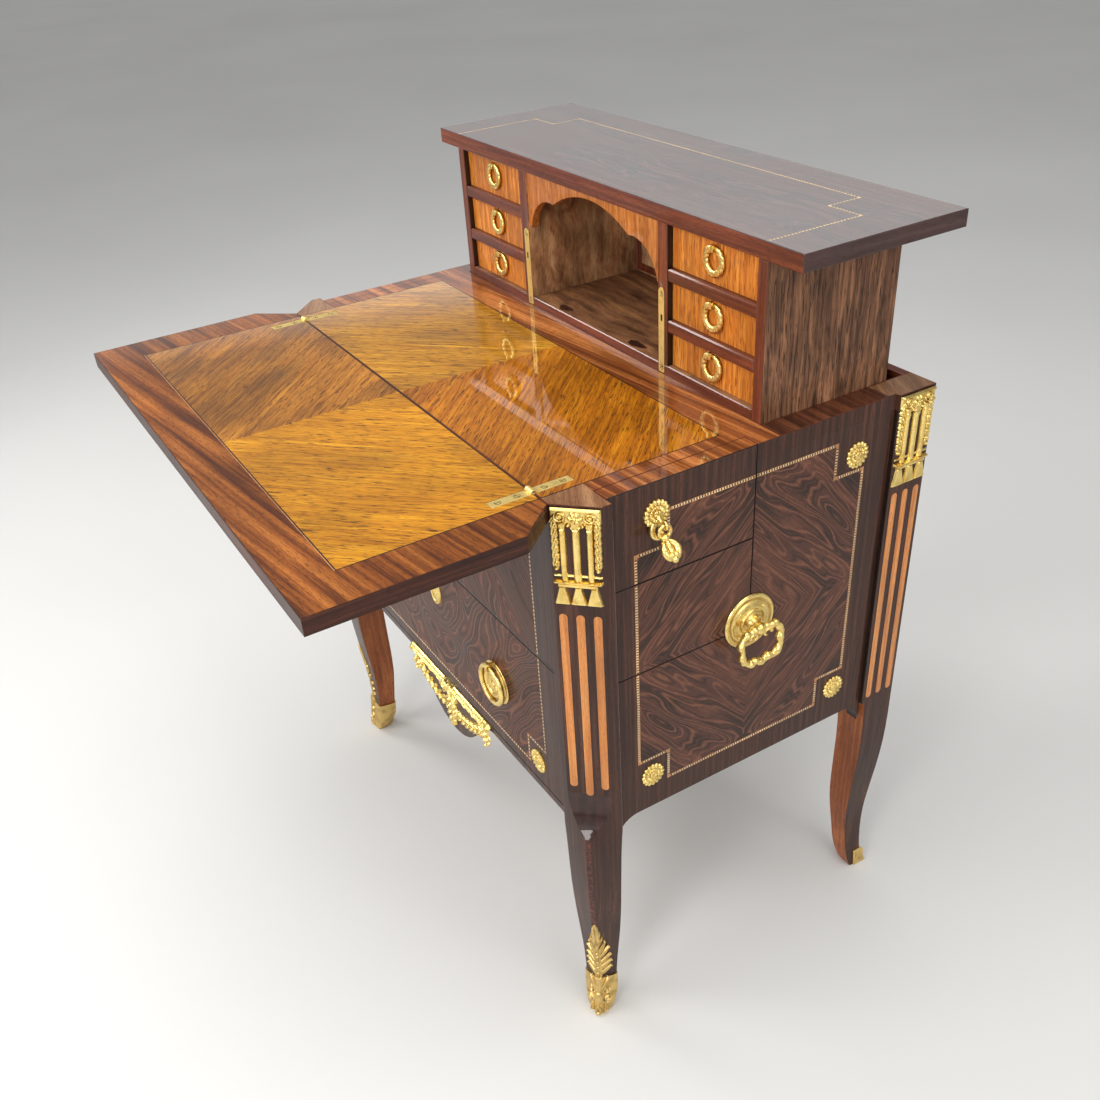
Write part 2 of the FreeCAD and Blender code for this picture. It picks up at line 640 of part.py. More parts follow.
def side_panels():
    foot = carcass_foot - s.bracket
    rear_start = drawer_end + s.seam_gap
    outline = (
        (post_rear, foot, -s.bracket), (post_rear + s.bracket, carcass_foot),
        (rear_post_front - s.bracket, carcass_foot, -s.bracket), (rear_post_front, foot),
        (rear_post_front, top_under), (rear_start, top_under),
        (rear_start, bottom_seam), (post_rear, bottom_seam))
    node("side_panels", pair("side_panel_pair",
                             prism("side_panel", "YZ", outline, (panel_inner, side_half))))


def floor_board(name, rear, rear_half, z):
    """A board between the posts and side panels."""
    outline = mirrored((
        (post_inner, front_back), (post_inner, post_rear), (panel_inner, post_rear),
        (panel_inner, rear_post_front), (rear_half, rear_post_front), (rear_half, rear)))
    return prism(name, "XY", outline, z)


def carcass():
    side_panels()
    front_y = (front_plane, front_back)
    node("upper_front_panel", block("upper_front", both(post_inner), front_y,
                                    (bottom_seam + s.seam_gap, top_under)))
    apron_foot = apron_edge - s.apron_bracket
    shoulder = apron_edge - s.shoulder_below
    node("front_apron", prism("apron", "XZ", (
        (-post_inner, apron_foot, -s.apron_bracket), (s.apron_bracket - post_inner, apron_edge),
        (-s.drop_half, apron_edge, -s.drop_scoop_radius),
        (-s.drop_shoulder, shoulder, s.drop_swell_radius),
        (as_size(0), apron_edge - s.drop_below, s.drop_swell_radius),
        (s.drop_shoulder, shoulder, -s.drop_scoop_radius),
        (s.drop_half, apron_edge), (post_inner - s.apron_bracket, apron_edge, -s.apron_bracket),
        (post_inner, apron_foot), (post_inner, apron_top), (-post_inner, apron_top)), front_y))
    node("back_panel", block("back_board", both(rear_post_inner), (back_plane, rear_plane),
                             (carcass_foot + s.fit_gap, top_under)))
    node("bottom_board", floor_board("floor", back_plane, rear_half - s.post_size - s.seam_gap,
                                     (apron_edge, apron_top)))
    shelf_half = strip_inner - s.seam_gap
    shelf = prism("side_shelf", "XY", mirrored((
        (post_inner, front_back), (post_inner, post_rear), (shelf_half, post_rear),
        (shelf_half, drawer_end))), (shelf_top - s.dust_thick, shelf_top))
    divider = floor_board("divider", gear_front, rear_post_inner,
                          (bottom_seam - s.divider_thick, bottom_seam))
    node("dust_boards", group("dust_board_set", shelf, divider))
    strip_x = (bottom_box_half + s.fit_gap, bottom_box_half + s.fit_gap + s.guide_width)
    strip = block("guide_strip", strip_x, (post_rear, gear_front), (apron_top, apron_top + s.guide_height))
    node("drawer_guides", pair("guide_strip_pair", strip))


def bolt(name, y, room=0.0):
    """A catch bolt, or with room round it the hole that it runs in."""
    size = s.bolt_size + as_size(room) * 2
    return block(name, about(strike_middle, size), y, about(bolt_z, size))


def well():
    wall = block("well_front_board", both(panel_inner), (well_wall_front, well_face),
                 (bottom_seam, top_under))
    hole = bolt("bolt_hole", (well_wall_front - s.bolt_size, well_edge + s.bolt_size), s.bolt_slack)
    side = block("well_side_board", (well_half, well_outer), (well_face, rear_post_front),
                 (well_floor, top_under))
    floor = block("well_floor_board", both(well_outer), (well_face, rear_post_front),
                  (well_floor - s.well_wall, well_floor))
    node("well_walls", group("well_wall_set", cut("well_front_open", wall, pair("bolt_holes", hole)), side,
                             twin("well_side_twin", side), floor))


def catch():
    bar_rear = well_wall_front - s.catch_travel - s.seam_gap
    bar_front = bar_rear - s.bar_thick
    bar = block("bar", both(strike_middle + s.bar_end), (bar_front, bar_rear), about(bolt_z, s.bar_height))
    pin = bolt("catch_bolt", (bar_rear - s.fit_gap, well_face - s.seam_gap))
    node("catch_bar", join("catch_bar_body", bar, pair("catch_bolts", pin)))
    outside = block("keeper_body", about(s.keeper_place, s.keeper_width),
                    (bar_front - s.fit_gap - s.keeper_wall, well_wall_front),
                    about(bolt_z, s.bar_height + s.fit_gap * 2 + s.keeper_wall * 2))
    slot = block("keeper_slot", about(s.keeper_place, s.keeper_width * 2),
                 (bar_front - s.fit_gap, well_wall_front + s.fit_gap),
                 about(bolt_z, s.bar_height + s.fit_gap * 2))
    node("catch_keepers", pair("keeper_pair", cut("keeper", outside, slot)))


def lift_gear():
    rod_top = s.top_height - s.head_drop
    guide = rod("guide_rod", (rod_place, rod_y, apron_top), "z", s.rod_radius, rod_top - apron_top)
    reach = (rod_y - s.bracket_half, back_plane)
    holder_x = about(rod_place, s.bracket_half * 2)
    foot = cut("foot_holder", block("foot_holder_body", holder_x, reach,
                                    (apron_top, apron_top + s.foot_bracket)), guide)
    head = cut("head_holder", block("head_holder_body", holder_x, reach,
                                    (rod_top - s.head_bracket, rod_top)), guide)
    guides = [guide, foot, head]
    node("lift_guides", group("guide_set", *guides, *[twin(g.Name + "_twin", g) for g in guides]))
    spring_low = apron_top + s.foot_bracket + s.fit_gap
    spring_length = bush_low - s.fit_gap - spring_low
    start = (rod_place, rod_y, spring_low)
    coil = cut("spring", rod("spring_outside", start, "z", s.spring_radius, spring_length),
               rod("spring_inside", start, "z", s.spring_bore, spring_length))
    node("lift_springs", pair("spring_pair", coil))
    plate = block("lift_plate", about(rod_place, s.lift_plate_half * 2),
                  (box_rear, box_rear + s.lift_plate_thick), (bush_low, bush_low + s.lift_plate_height))
    web = block("lift_web", about(rod_place, s.bush_radius), (box_rear, rod_y), (bush_low, bush_top))
    bush = rod("lift_bush", (rod_place, rod_y, bush_low), "z", s.bush_radius, s.bush_length)
    bore = rod("lift_bore", (rod_place, rod_y, bush_low), "z", s.rod_radius + s.rod_fit, s.bush_length)
    node("lift_brackets", pair("lift_bracket_pair",
                               cut("lift_bracket", join("lift_bracket_body", plate, web, bush), bore)))


def rising_box():
    depth = (box_front, box_back_face)
    side = block("box_side_board", (box_inner, box_half), (box_front, box_rear), (box_bottom, box_under_top))
    node("box_sides", pair("box_side_pair", side))
    node("box_back", block("box_back_board", both(box_inner), (box_back_face, box_rear),
                           (box_bottom, box_under_top)))
    node("box_top", block("box_top_board", both(box_top_half), (box_front, rear_plane),
                          (box_under_top, box_under_top + s.board_thick)))
    strike = block("strike_body", about(strike_middle, s.strike_width),
                   (box_front, box_front + s.strike_thick),
                   (s.top_height + s.strike_low, s.top_height + s.strike_high))
    slot_size = s.bolt_size + s.bolt_slack * 2
    slot = block("strike_slot", about(strike_middle, slot_size),
                 (box_front - s.bolt_slack, box_front + s.bolt_pocket),
                 about(slot_z, slot_size))
    board = block("partition_board", (s.pigeonhole_half, partition_outer), depth, (box_floor, box_under_top))
    floor = block("box_floor_board", both(box_inner), depth, (box_bottom, box_floor))
    node("box_bottom", cut("box_floor_rebated", floor, pair("strike_rebates", strike)))
    node("box_partitions", pair("partition_pair", cut("partition", board, strike, slot)))
    node("strike_plates", pair("strike_pair", cut("strike", strike, slot)))
    shelves = [block("small_shelf", (partition_outer, box_inner), depth, (under, under + s.shelf_thick))
               for under in (low_shelf, high_shelf)]
    node("box_shelves", group("shelf_set", *shelves, *[twin(b.Name + "_twin", b) for b in shelves]))
    foot, cusp = box_under_top - s.arch_below, box_under_top - s.cusp_below
    arch_half = s.pigeonhole_half - s.arch_inset
    cusp_half = s.pigeonhole_half - s.cusp_inset
    arch_radius = (cusp_half * cusp_half + s.arch_rise * s.arch_rise) / (s.arch_rise * 2)
    fascia_y = box_front + s.fascia_setback
    node("arch_fascia", prism("fascia", "XZ", (
        (-s.pigeonhole_half, foot), (-arch_half, foot, -s.lobe_radius), (-cusp_half, cusp, -arch_radius),
        (cusp_half, cusp, -s.lobe_radius), (arch_half, foot), (s.pigeonhole_half, foot),
        (s.pigeonhole_half, box_under_top), (-s.pigeonhole_half, box_under_top)),
        (fascia_y, fascia_y + s.fascia_thick)))


def drawer_box(name, x, y, z, wall, floor):
    """Two sides, a back at the high end of y, and a bottom between them, as separate boards."""
    inner = (x[0] + wall, x[1] - wall)
    return [block(name + "_side", (x[0], inner[0]), y, z),
            block(name + "_side", (inner[1], x[1]), y, z),
            block(name + "_bottom", inner, y, (z[0], z[0] + floor)),
            block(name + "_back", inner, (y[1] - wall, y[1]), (z[0] + floor, z[1]))]


def small_drawers():
    rows = (("lower", box_floor, low_shelf), ("middle", low_shelf + s.shelf_thick, high_shelf),
            ("upper", high_shelf + s.shelf_thick, box_under_top))
    middle_x = (partition_outer + box_inner) / 2
    front_face = box_front + s.small_recess
    front_rear = front_face + s.small_front
    ring_y = box_front + s.ring_setback
    eye_reach = s.ring_wire + s.ring_slack + s.eye_wall
    for row, low, high in rows:
        name = row + "_small_drawer"
        x = (partition_outer + s.seam_gap, box_inner - s.seam_gap)
        z = (low + s.fit_gap, high - s.seam_gap)
        ring_z = (low + high) / 2
        pivot_z = ring_z + ring_radius
        front = block(name + "_front", x, (front_face, front_rear), z)
        boards = drawer_box(name, (x[0] + s.seam_gap, x[1] - s.seam_gap),
                            (front_rear, box_back_face - s.small_room),
                            (z[0], z[1] - s.small_headroom), s.small_wall, s.small_bottom)
        lug = block(name + "_lug", about(middle_x, s.eye_width), (ring_y - eye_reach, front_face),
                    about(pivot_z, eye_reach * 2))
        bore = rod(name + "_bore", (middle_x - s.eye_width, ring_y, pivot_z), "x",
                   s.ring_wire + s.ring_slack, s.eye_width * 2)
        right = group(name + "_right", front, *boards, cut(name + "_eye", lug, bore))
        ring = hoop(name + "_ring", (middle_x, ring_y, ring_z), "y", ring_radius, s.ring_wire)
        node(row + "_right_small_drawer", right)
        node(row + "_left_small_drawer", twin(name + "_left", right))
        node(row + "_right_ring", ring)
        node(row + "_left_ring", twin(name + "_ring_twin", ring))


def drop_pull():
    """Rosette with an eye, and the drop that hangs in it."""
    y = behind(s.drop_pull_behind)
    axis_x = side_half + s.drop_axis_out
    rosette_z = s.top_height - s.drop_pull_below
    axis_z = rosette_z - s.drop_axis_below
    lug_reach = s.drop_wire + s.ring_slack + s.drop_eye_wall
    face = rod("drop_rosette", (side_half, y, rosette_z), "x", s.rosette_radius, s.rosette_thick)
    lug = block("drop_lug", (side_half, axis_x + lug_reach), about(y, s.drop_eye_width),
                about(axis_z, lug_reach * 2))
    bore = rod("drop_bore", (axis_x, y - s.drop_eye_width, axis_z), "y", s.drop_wire + s.ring_slack,
               s.drop_eye_width * 2)
    plate = join("drop_plate", face, cut("drop_eye", lug, bore))
    loop = hoop("drop_hoop", (axis_x, y, axis_z - s.drop_loop), "x", s.drop_loop, s.drop_wire)
    stem_top = axis_z - s.drop_loop * 2
    stem = rod("drop_stem", (axis_x, y, stem_top - s.drop_length + s.drop_bulb), "z", s.drop_wire * 2,
               s.drop_length - s.drop_bulb)
    bulb = ball("drop_end", (axis_x, y, stem_top - s.drop_length + s.drop_bulb), s.drop_bulb)
    return plate, join("drop", loop, stem, bulb)


def bail_pull():
    """Round dish with a bored boss, and the bail that hangs in it."""
    y = drawer_end
    z = bottom_seam + s.dish_lift
    axis_x = side_half + s.bail_axis_out
    dish = rod("bail_dish", (side_half, y, z), "x", s.dish_radius, s.dish_thick)
    boss = rod("bail_boss", (side_half, y, z), "x", s.boss_radius, s.boss_length)
    bore = rod("bail_bore", (axis_x, y - s.boss_radius * 2, z), "y", s.bail_wire + s.fit_gap,
               s.boss_radius * 4)
    plate = cut("bail_plate", join("bail_plate_body", dish, boss), bore)
    foot = z - s.bail_height
    bars = [rod("bail_bar", (axis_x, y - s.bail_half, height), "y", s.bail_wire, s.bail_half * 2)
            for height in (z, foot)]
    for side in (-s.bail_half, s.bail_half):
        bars.append(rod("bail_arm", (axis_x, y + side, foot), "z", s.bail_wire, s.bail_height))
        bars += [ball("bail_corner", (axis_x, y + side, height), s.bail_wire) for height in (z, foot)]
    return plate, join("bail", *bars)


def side_drawers():
    front_x = (strip_inner, side_half)
    front_y = (post_rear + s.seam_gap, drawer_end)
    box_y = (front_y[0] + s.side_drawer_inset, front_y[1] - s.side_drawer_inset)
    levels = (
        ("upper", (middle_seam + s.seam_gap, s.top_height),
         (shelf_top + s.fit_gap, top_under - s.upper_headroom), drop_pull(), "drop"),
        ("lower", (bottom_seam + s.seam_gap, middle_seam),
         (bottom_seam + s.fit_gap, shelf_top - s.dust_thick - s.lower_headroom), bail_pull(), "bail"))
    inner_end = s.drawer_meeting
    for level, front_z, box_z, (plate, pull), kind in levels:
        name = level + "_side_drawer"
        inner_y = (box_y[0] + s.drawer_wall, box_y[1] - s.drawer_wall)
        floor_z = (box_z[0], box_z[0] + s.drawer_wall)
        boards = [
            block(name + "_front", front_x, front_y, front_z),
            block(name + "_side", (inner_end, strip_inner), (box_y[0], inner_y[0]), box_z),
            block(name + "_side", (inner_end, strip_inner), (inner_y[1], box_y[1]), box_z),
            block(name + "_bottom", (inner_end, strip_inner), inner_y, floor_z),
            block(name + "_back", (inner_end, inner_end + s.drawer_wall), inner_y, (floor_z[1], box_z[1]))]
        right = node(name + "_right", group(name + "_boards", *boards))
        node(name + "_left", twin(name + "_boards_twin", right))
        node("%s_plate_right" % kind, plate)
        node("%s_plate_left" % kind, twin(kind + "_plate_twin", plate))
        node("%s_pull_right" % kind, pull)
        node("%s_pull_left" % kind, twin(kind + "_pull_twin", pull))


def bottom_drawer():
    front = block("bottom_front", both(post_inner - s.seam_gap), (front_plane, front_back),
                  (apron_top + s.seam_gap, bottom_seam - s.seam_gap))
    low = apron_top + s.fit_gap
    boards = drawer_box("bottom_box", both(bottom_box_half), (front_back, gear_front - s.bottom_box_room),
                        (low, bottom_seam - s.bottom_headroom), s.drawer_wall, s.drawer_wall)
    node("bottom_drawer", group("bottom_drawer_boards", front, *boards))
    plate_y = front_plane - s.ring_plate_thick
    ring_y = plate_y - s.fit_gap - s.large_ring_wire
    pivot_z = large_ring_z + s.large_ring_radius
    eye_reach = s.large_ring_wire + s.ring_slack + s.large_eye_wall
    disc = rod("ring_disc", (s.large_ring_place, plate_y, large_ring_z), "y",
               s.ring_plate_radius, s.ring_plate_thick)
    lug = block("ring_lug", about(s.large_ring_place, s.large_eye_width), (ring_y - eye_reach, front_plane),
                about(pivot_z, eye_reach * 2))
    bore = rod("ring_bore", (s.large_ring_place - s.large_eye_width, ring_y, pivot_z), "x",
               s.large_ring_wire + s.ring_slack, s.large_eye_width * 2)
    plate = join("ring_plate", disc, cut("ring_eye", lug, bore))
    ring = hoop("large_ring", (s.large_ring_place, ring_y, large_ring_z), "y",
                s.large_ring_radius, s.large_ring_wire)
    flower = rod("front_flower", (front_rosette_place, front_plane - s.rosette_thick,
                                  apron_top + s.front_rosette_lift), "y", s.rosette_radius, s.rosette_thick)
    shield_top = bottom_seam - s.escutcheon_below
    shield = block("escutcheon", about(0, s.escutcheon_width),
                   (front_plane - s.escutcheon_thick, front_plane),
                   (shield_top - s.escutcheon_tall, shield_top))
    node("bottom_drawer_mounts", group("bottom_mount_set", plate, twin("ring_plate_twin", plate), flower,
                                       twin("front_flower_twin", flower), shield))
    node("bottom_ring_right", ring)
    node("bottom_ring_left", twin("large_ring_twin", ring))


def post_mount(name, turn, x, y):
    """Frieze, three bars, a crossbar and three drops, facing -Y before it is turned."""
    depth = (-s.mount_thick, 0)
    mount_high = s.top_height - s.mount_below
    mount_low = mount_high - s.mount_tall
    drop_top = mount_low + s.mount_foot
    cross_top = drop_top + s.mount_crossbar
    frieze_low = mount_high - s.frieze_height
    plates = [block(name + "_frieze", about(0, s.mount_width), depth, (frieze_low, mount_high)),
              block(name + "_crossbar", about(0, s.mount_width), depth, (drop_top, cross_top))]
    for step in (as_size(-1), as_size(0), as_size(1)):
        middle = step * s.mount_bar_pitch
        plates.append(block(name + "_bar", about(middle, s.mount_bar), depth, (cross_top, frieze_low)))
        plates.append(block(name + "_drop", about(middle, s.mount_drop_width), depth, (mount_low, drop_top)))
    mount = join(name, *plates)
    mount.Placement.Rotation = Rotation(Vector(0, 0, 1), turn)
    place(mount, x, y, 0)
    return mount


def gilt_mounts():
    canted = post_mount("cant_mount", 45, s.post_half - s.cant / 2, behind(s.cant / 2))
    square_on = post_mount("rear_mount", 90, rear_half, rear_plane - s.rear_post_depth / 2)
    node("post_mounts", group("post_mount_set", canted, twin("cant_mount_twin", canted), square_on,
                              twin("rear_mount_twin", square_on)))
    near, far = post_rear + s.rosette_inset, rear_post_front - s.rosette_inset
    flowers = [rod("side_flower", (side_half, y, z), "x", s.rosette_radius, s.rosette_thick)
               for y, z in ((near, rosette_low), (far, rosette_low), (far, rosette_high))]
    flowers.append(rod("upper_flower", (front_rosette_place, front_plane - s.rosette_thick, rosette_high),
                       "y", s.rosette_radius, s.rosette_thick))
    node("panel_rosettes", group("flower_set", *flowers, *[twin(f.Name + "_twin", f) for f in flowers]))
    bar_top = apron_top - s.apron_mount_below
    bar_low = bar_top - s.apron_mount_bar
    swag, tip = apron_top - s.apron_mount_swag, apron_top - s.apron_mount_tip
    node("apron_mount", prism("apron_gilt", "XZ", (
        (-s.apron_mount_half, bar_low), (-s.drop_shoulder, bar_low), (-s.apron_mount_waist, swag),
        (as_size(0), tip), (s.apron_mount_waist, swag), (s.drop_shoulder, bar_low),
        (s.apron_mount_half, bar_low), (s.apron_mount_half, bar_top), (-s.apron_mount_half, bar_top)),
        (front_plane - s.apron_mount_thick, front_plane)))


def check():
    """Stop before anything is written if an object failed or a piece is not sound."""
    failed = [item.Label for item in doc.Objects if {"Invalid", "Error"} & set(item.State)]
    unsound = [label for label, item in nodes.items()
               if item.Shape.isNull() or not item.Shape.isValid() or not item.Shape.Solids]
    if failed or unsound:
        raise RuntimeError("failed objects %s, unsound pieces %s" % (failed, unsound))


def main():
    posts()
    boards()
    hinges()
    carcass()
    well()
    catch()
    lift_gear()
    rising_box()
    small_drawers()
    side_drawers()
    bottom_drawer()
    gilt_mounts()
    doc.recompute()
    check()
    os.makedirs("parts", exist_ok=True)
    for label, item in nodes.items():
        item.Shape.exportStep("parts/%s.step" % label)
    print("%d pieces written" % len(nodes))


main()
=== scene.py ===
import json
import math

import bmesh
import bpy
import numpy as np
from bpy.props import FloatProperty, PointerProperty, StringProperty
from mathutils import Matrix, Vector
from mathutils.bvhtree import BVHTree


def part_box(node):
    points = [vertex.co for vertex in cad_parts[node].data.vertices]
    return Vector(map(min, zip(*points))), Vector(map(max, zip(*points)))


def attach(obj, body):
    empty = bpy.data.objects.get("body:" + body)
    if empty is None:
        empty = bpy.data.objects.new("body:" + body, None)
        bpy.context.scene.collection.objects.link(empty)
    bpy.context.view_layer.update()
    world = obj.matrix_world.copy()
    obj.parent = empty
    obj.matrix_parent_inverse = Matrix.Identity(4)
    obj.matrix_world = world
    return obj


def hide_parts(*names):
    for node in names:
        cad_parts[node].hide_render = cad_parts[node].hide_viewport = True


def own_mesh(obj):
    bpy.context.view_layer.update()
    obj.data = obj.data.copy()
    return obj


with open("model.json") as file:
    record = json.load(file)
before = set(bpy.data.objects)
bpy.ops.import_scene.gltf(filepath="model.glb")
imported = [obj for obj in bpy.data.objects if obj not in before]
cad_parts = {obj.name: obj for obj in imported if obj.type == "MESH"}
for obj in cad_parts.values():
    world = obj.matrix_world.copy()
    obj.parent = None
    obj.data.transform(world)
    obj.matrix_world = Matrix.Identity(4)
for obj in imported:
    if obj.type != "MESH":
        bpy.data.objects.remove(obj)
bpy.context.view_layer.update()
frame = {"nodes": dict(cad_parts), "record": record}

bl_info = {
    "name": "Folding-top desk finishes",
    "version": (1, 0, 0),
    "blender": (4, 5, 0),
    "location": "View3D > Sidebar > Desk",
    "description": "Veneers, inlay and gilt mounts for a folding-top desk with a rising drawer box",
    "category": "Object",
}

MM = 0.001
NODES = frame["nodes"]
BODY_OF = {node: body for body, nodes in frame["record"]["behaviour"]["bodies"].items() for node in nodes}
SLOT_OF = {item["node"]: item["material_slot"] for item in frame["record"]["subparts"]}
SIDES = (("right", 1), ("left", -1))


def extent(node):
    """Lowest and highest corner of a CAD node in millimetres."""
    low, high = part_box(node)
    return low * 1000, high * 1000


# Planes of the CAD model that the finishes lie on
LEAF_LOW, LEAF_HIGH = extent("writing_leaf")
TOP_LOW, TOP_HIGH = extent("writing_top")
BOX_TOP_LOW, BOX_TOP_HIGH = extent("box_top")
WRITING_Z = LEAF_HIGH.z
HINGE_Y = (LEAF_HIGH.y + TOP_LOW.y) / 2
SIDE_X = extent("side_panels")[1].x
FRONT_Y = extent("bottom_drawer")[0].y
POST_X = extent("front_posts")[1].x
POST_Y = extent("front_posts")[0].y
REAR_POST_X = extent("rear_posts")[1].x
BOX_FACE_Y = extent("box_sides")[0].y
UPPER_LOW, UPPER_HIGH = extent("upper_side_drawer_right")
LOWER_LOW, LOWER_HIGH = extent("lower_side_drawer_right")

# Sizes of the inlay in millimetres
CANT = 36.0  # legs of the canted corner
VENEER = 0.15  # height of a veneer over its board
SEAT = -0.3  # depth to which an inlay is let in
INSET = 1.0  # from a board's edge to its veneer
JOINT_GAP = 0.8  # from the leaf's joint to the veneer beside it
JOINT_LINE = 0.6  # dark line on each side of the joint
LINE_ROOM = 0.6  # room for the line round the golden field
FIELD_X = 308.0  # half the golden field's width
FIELD_FRONT, FIELD_REAR = LEAF_LOW.y + 52.5, HINGE_Y + 211.4
LEAF_EDGE, TOP_EDGE = LEAF_HIGH.y - JOINT_GAP, TOP_LOW.y + JOINT_GAP
WELL_X = 317.0  # half the well's width
POST_REAR = POST_Y + 48.0  # rear face of a front post
STRING_TOP, STRING_NOTCH = 704.5, 40.0  # upper line of the ladder stringing and its square corners
PANEL_LOW, PANEL_TOP = 320.0, 721.0  # limits of the side and front panels
DRAWER_TOP = 739.0  # just under the side drawers' upper edge
LEG_TOP, TONGUE_TOP = 321.5, 375.0  # a front leg's upper end, and that of the tongue under its cant

# Sizes of the mounts in millimetres
ROSETTE = (15.5, 16, 4.0)  # radius, petals and rise
ROSETTE_X, ROSETTE_TOP = 241.0, 684.0  # on the front, and the upper row
STRAP_HALF = 6.0  # half a hinge strap's width
STRIKE_INSET = 3.0  # from the CAD strike plate's outer edge to the middle of the plate that shows


class DeskSizes(bpy.types.PropertyGroup):
    """Sizes of the inlay and of the softened edges."""

    edge_round: FloatProperty(
        name="Edge rounding", description="Worn rounding of the boards' edges",
        default=0.0009, min=0.0, max=0.003, unit="LENGTH")
    ladder_width: FloatProperty(
        name="Ladder stringing", description="Width of the chequered stringing round the side fields",
        default=0.0036, min=0.001, max=0.008, unit="LENGTH")
    ladder_pitch: FloatProperty(
        name="Ladder pitch", description="Distance from one dark square of the stringing to the next",
        default=0.0034, min=0.001, max=0.01, unit="LENGTH")
    flute_width: FloatProperty(
        name="Flute width", description="Width of the inlaid flutes on the posts",
        default=0.0085, min=0.002, max=0.015, unit="LENGTH")
    flute_pitch: FloatProperty(
        name="Flute pitch", description="Distance between the middles of two flutes",
        default=0.0175, min=0.01, max=0.03, unit="LENGTH")


class DeskColours(bpy.types.PropertyGroup):
    """Colours of the finishes as sRGB hex values."""

    rosewood_dark: StringProperty(
        name="Rosewood ground", description="Dark bands of the rosewood", default="#29170f")
    rosewood_light: StringProperty(
        name="Rosewood streak", description="Reddish streaks of the rosewood", default="#80503a")
    mahogany_light: StringProperty(
        name="Mahogany", description="Light ribbons of the crossbanding", default="#b8723a")
    mahogany_dark: StringProperty(
        name="Mahogany shade", description="Dark ribbons of the crossbanding", default="#5c2e14")
    drawer_light: StringProperty(name="Drawer veneer", description="Small drawer fronts", default="#d88e38")
    gilt: StringProperty(name="Gilt bronze", description="Fire-gilt mounts", default="#f6d988")
    brass: StringProperty(name="Brass", description="Hinges and strike plates", default="#f6dc8e")
    floor: StringProperty(name="Floor", description="Plain pale floor", default="#d6d5d2")


def linear(text):
    """An sRGB hex colour as linear RGBA."""
    channels = [int(text[i:i + 2], 16) / 255 for i in (1, 3, 5)]
    return [c / 12.92 if c <= 0.04045 else ((c + 0.055) / 1.055) ** 2.4 for c in channels] + [1.0]


def plug(tree, item, links):
    """Put values or other nodes' outputs on a node's inputs."""
    for name, value in dict(links).items():
        if isinstance(value, bpy.types.NodeSocket):
            tree.links.new(value, item.inputs[name])
        else:
            item.inputs[name].default_value = value


def add(tree, kind, links=(), stops=(), **settings):
    """Add a node with its settings, inputs and colour stops."""
    item = tree.nodes.new(kind)
    for name, value in settings.items():
        setattr(item, name, value)
    plug(tree, item, links)
    for number, (place, colour) in enumerate(stops):
        elements = item.color_ramp.elements
        element = elements[number] if number < 2 else elements.new(place)
        element.position = place
        element.color = linear(colour)
    return item


def new_material(name):
    """An empty node material with its shader linked to the output."""
    material = bpy.data.materials.new(name)
    material.use_nodes = True
    tree = material.node_tree
    tree.nodes.clear()
    shader = add(tree, "ShaderNodeBsdfPrincipled")
    add(tree, "ShaderNodeOutputMaterial", {"Surface": shader.outputs[0]})
    return material, tree, shader


def noise(tree, place, detail, roughness=0.5, scale=1.0):
    """A noise pattern in a space."""
    return add(tree, "ShaderNodeTexNoise", {
        "Vector": place, "Scale": scale, "Detail": detail, "Roughness": roughness}).outputs


def spread(tree, value, source, target):
    """A value carried from one range to another."""
    return add(tree, "ShaderNodeMapRange", {
        "Value": value, "From Min": source[0], "From Max": source[1], "To Min": target[0],
        "To Max": target[1]}).outputs[0]


def reckon(tree, operation, *values):
    """A sum on values or other nodes' outputs."""
    return add(tree, "ShaderNodeMath", dict(enumerate(values)), operation=operation).outputs[0]


def ramp(tree, value, stops):
    """A value turned into a colour."""
    return add(tree, "ShaderNodeValToRGB", {"Fac": value}, stops=stops).outputs[0]


def mixed(tree, share, first, second, blend="MIX"):
    """Two colours mixed by a share."""
    return add(tree, "ShaderNodeMix", {"Factor": share, 6: first, 7: second}, data_type="RGBA",
               blend_type=blend).outputs[2]


def grain_space(tree, turn, centre):
    """Coordinates in millimetres, turned with the grain. With a centre, four quarters are matched there."""
    place = add(tree, "ShaderNodeTexCoord").outputs["Object"]
    if centre is not None:
        moved = add(tree, "ShaderNodeVectorMath", {0: place, 1: [c * MM for c in centre]},
                    operation="SUBTRACT")
        place = add(tree, "ShaderNodeVectorMath", {0: moved.outputs[0]}, operation="ABSOLUTE").outputs[0]
    return add(tree, "ShaderNodeMapping", {
        "Vector": place, "Rotation": [math.radians(a) for a in turn], "Scale": (1000, 1000, 1000)}).outputs[0]


def stretched(tree, space, along, across_mm, along_mm):
    """The grain space scaled so that one unit is a size across the grain and another along it."""
    scale = [1 / across_mm] * 3
    scale["xyz".index(along)] = 1 / along_mm
    return add(tree, "ShaderNodeVectorMath", {0: space, 1: scale}, operation="MULTIPLY").outputs[0]


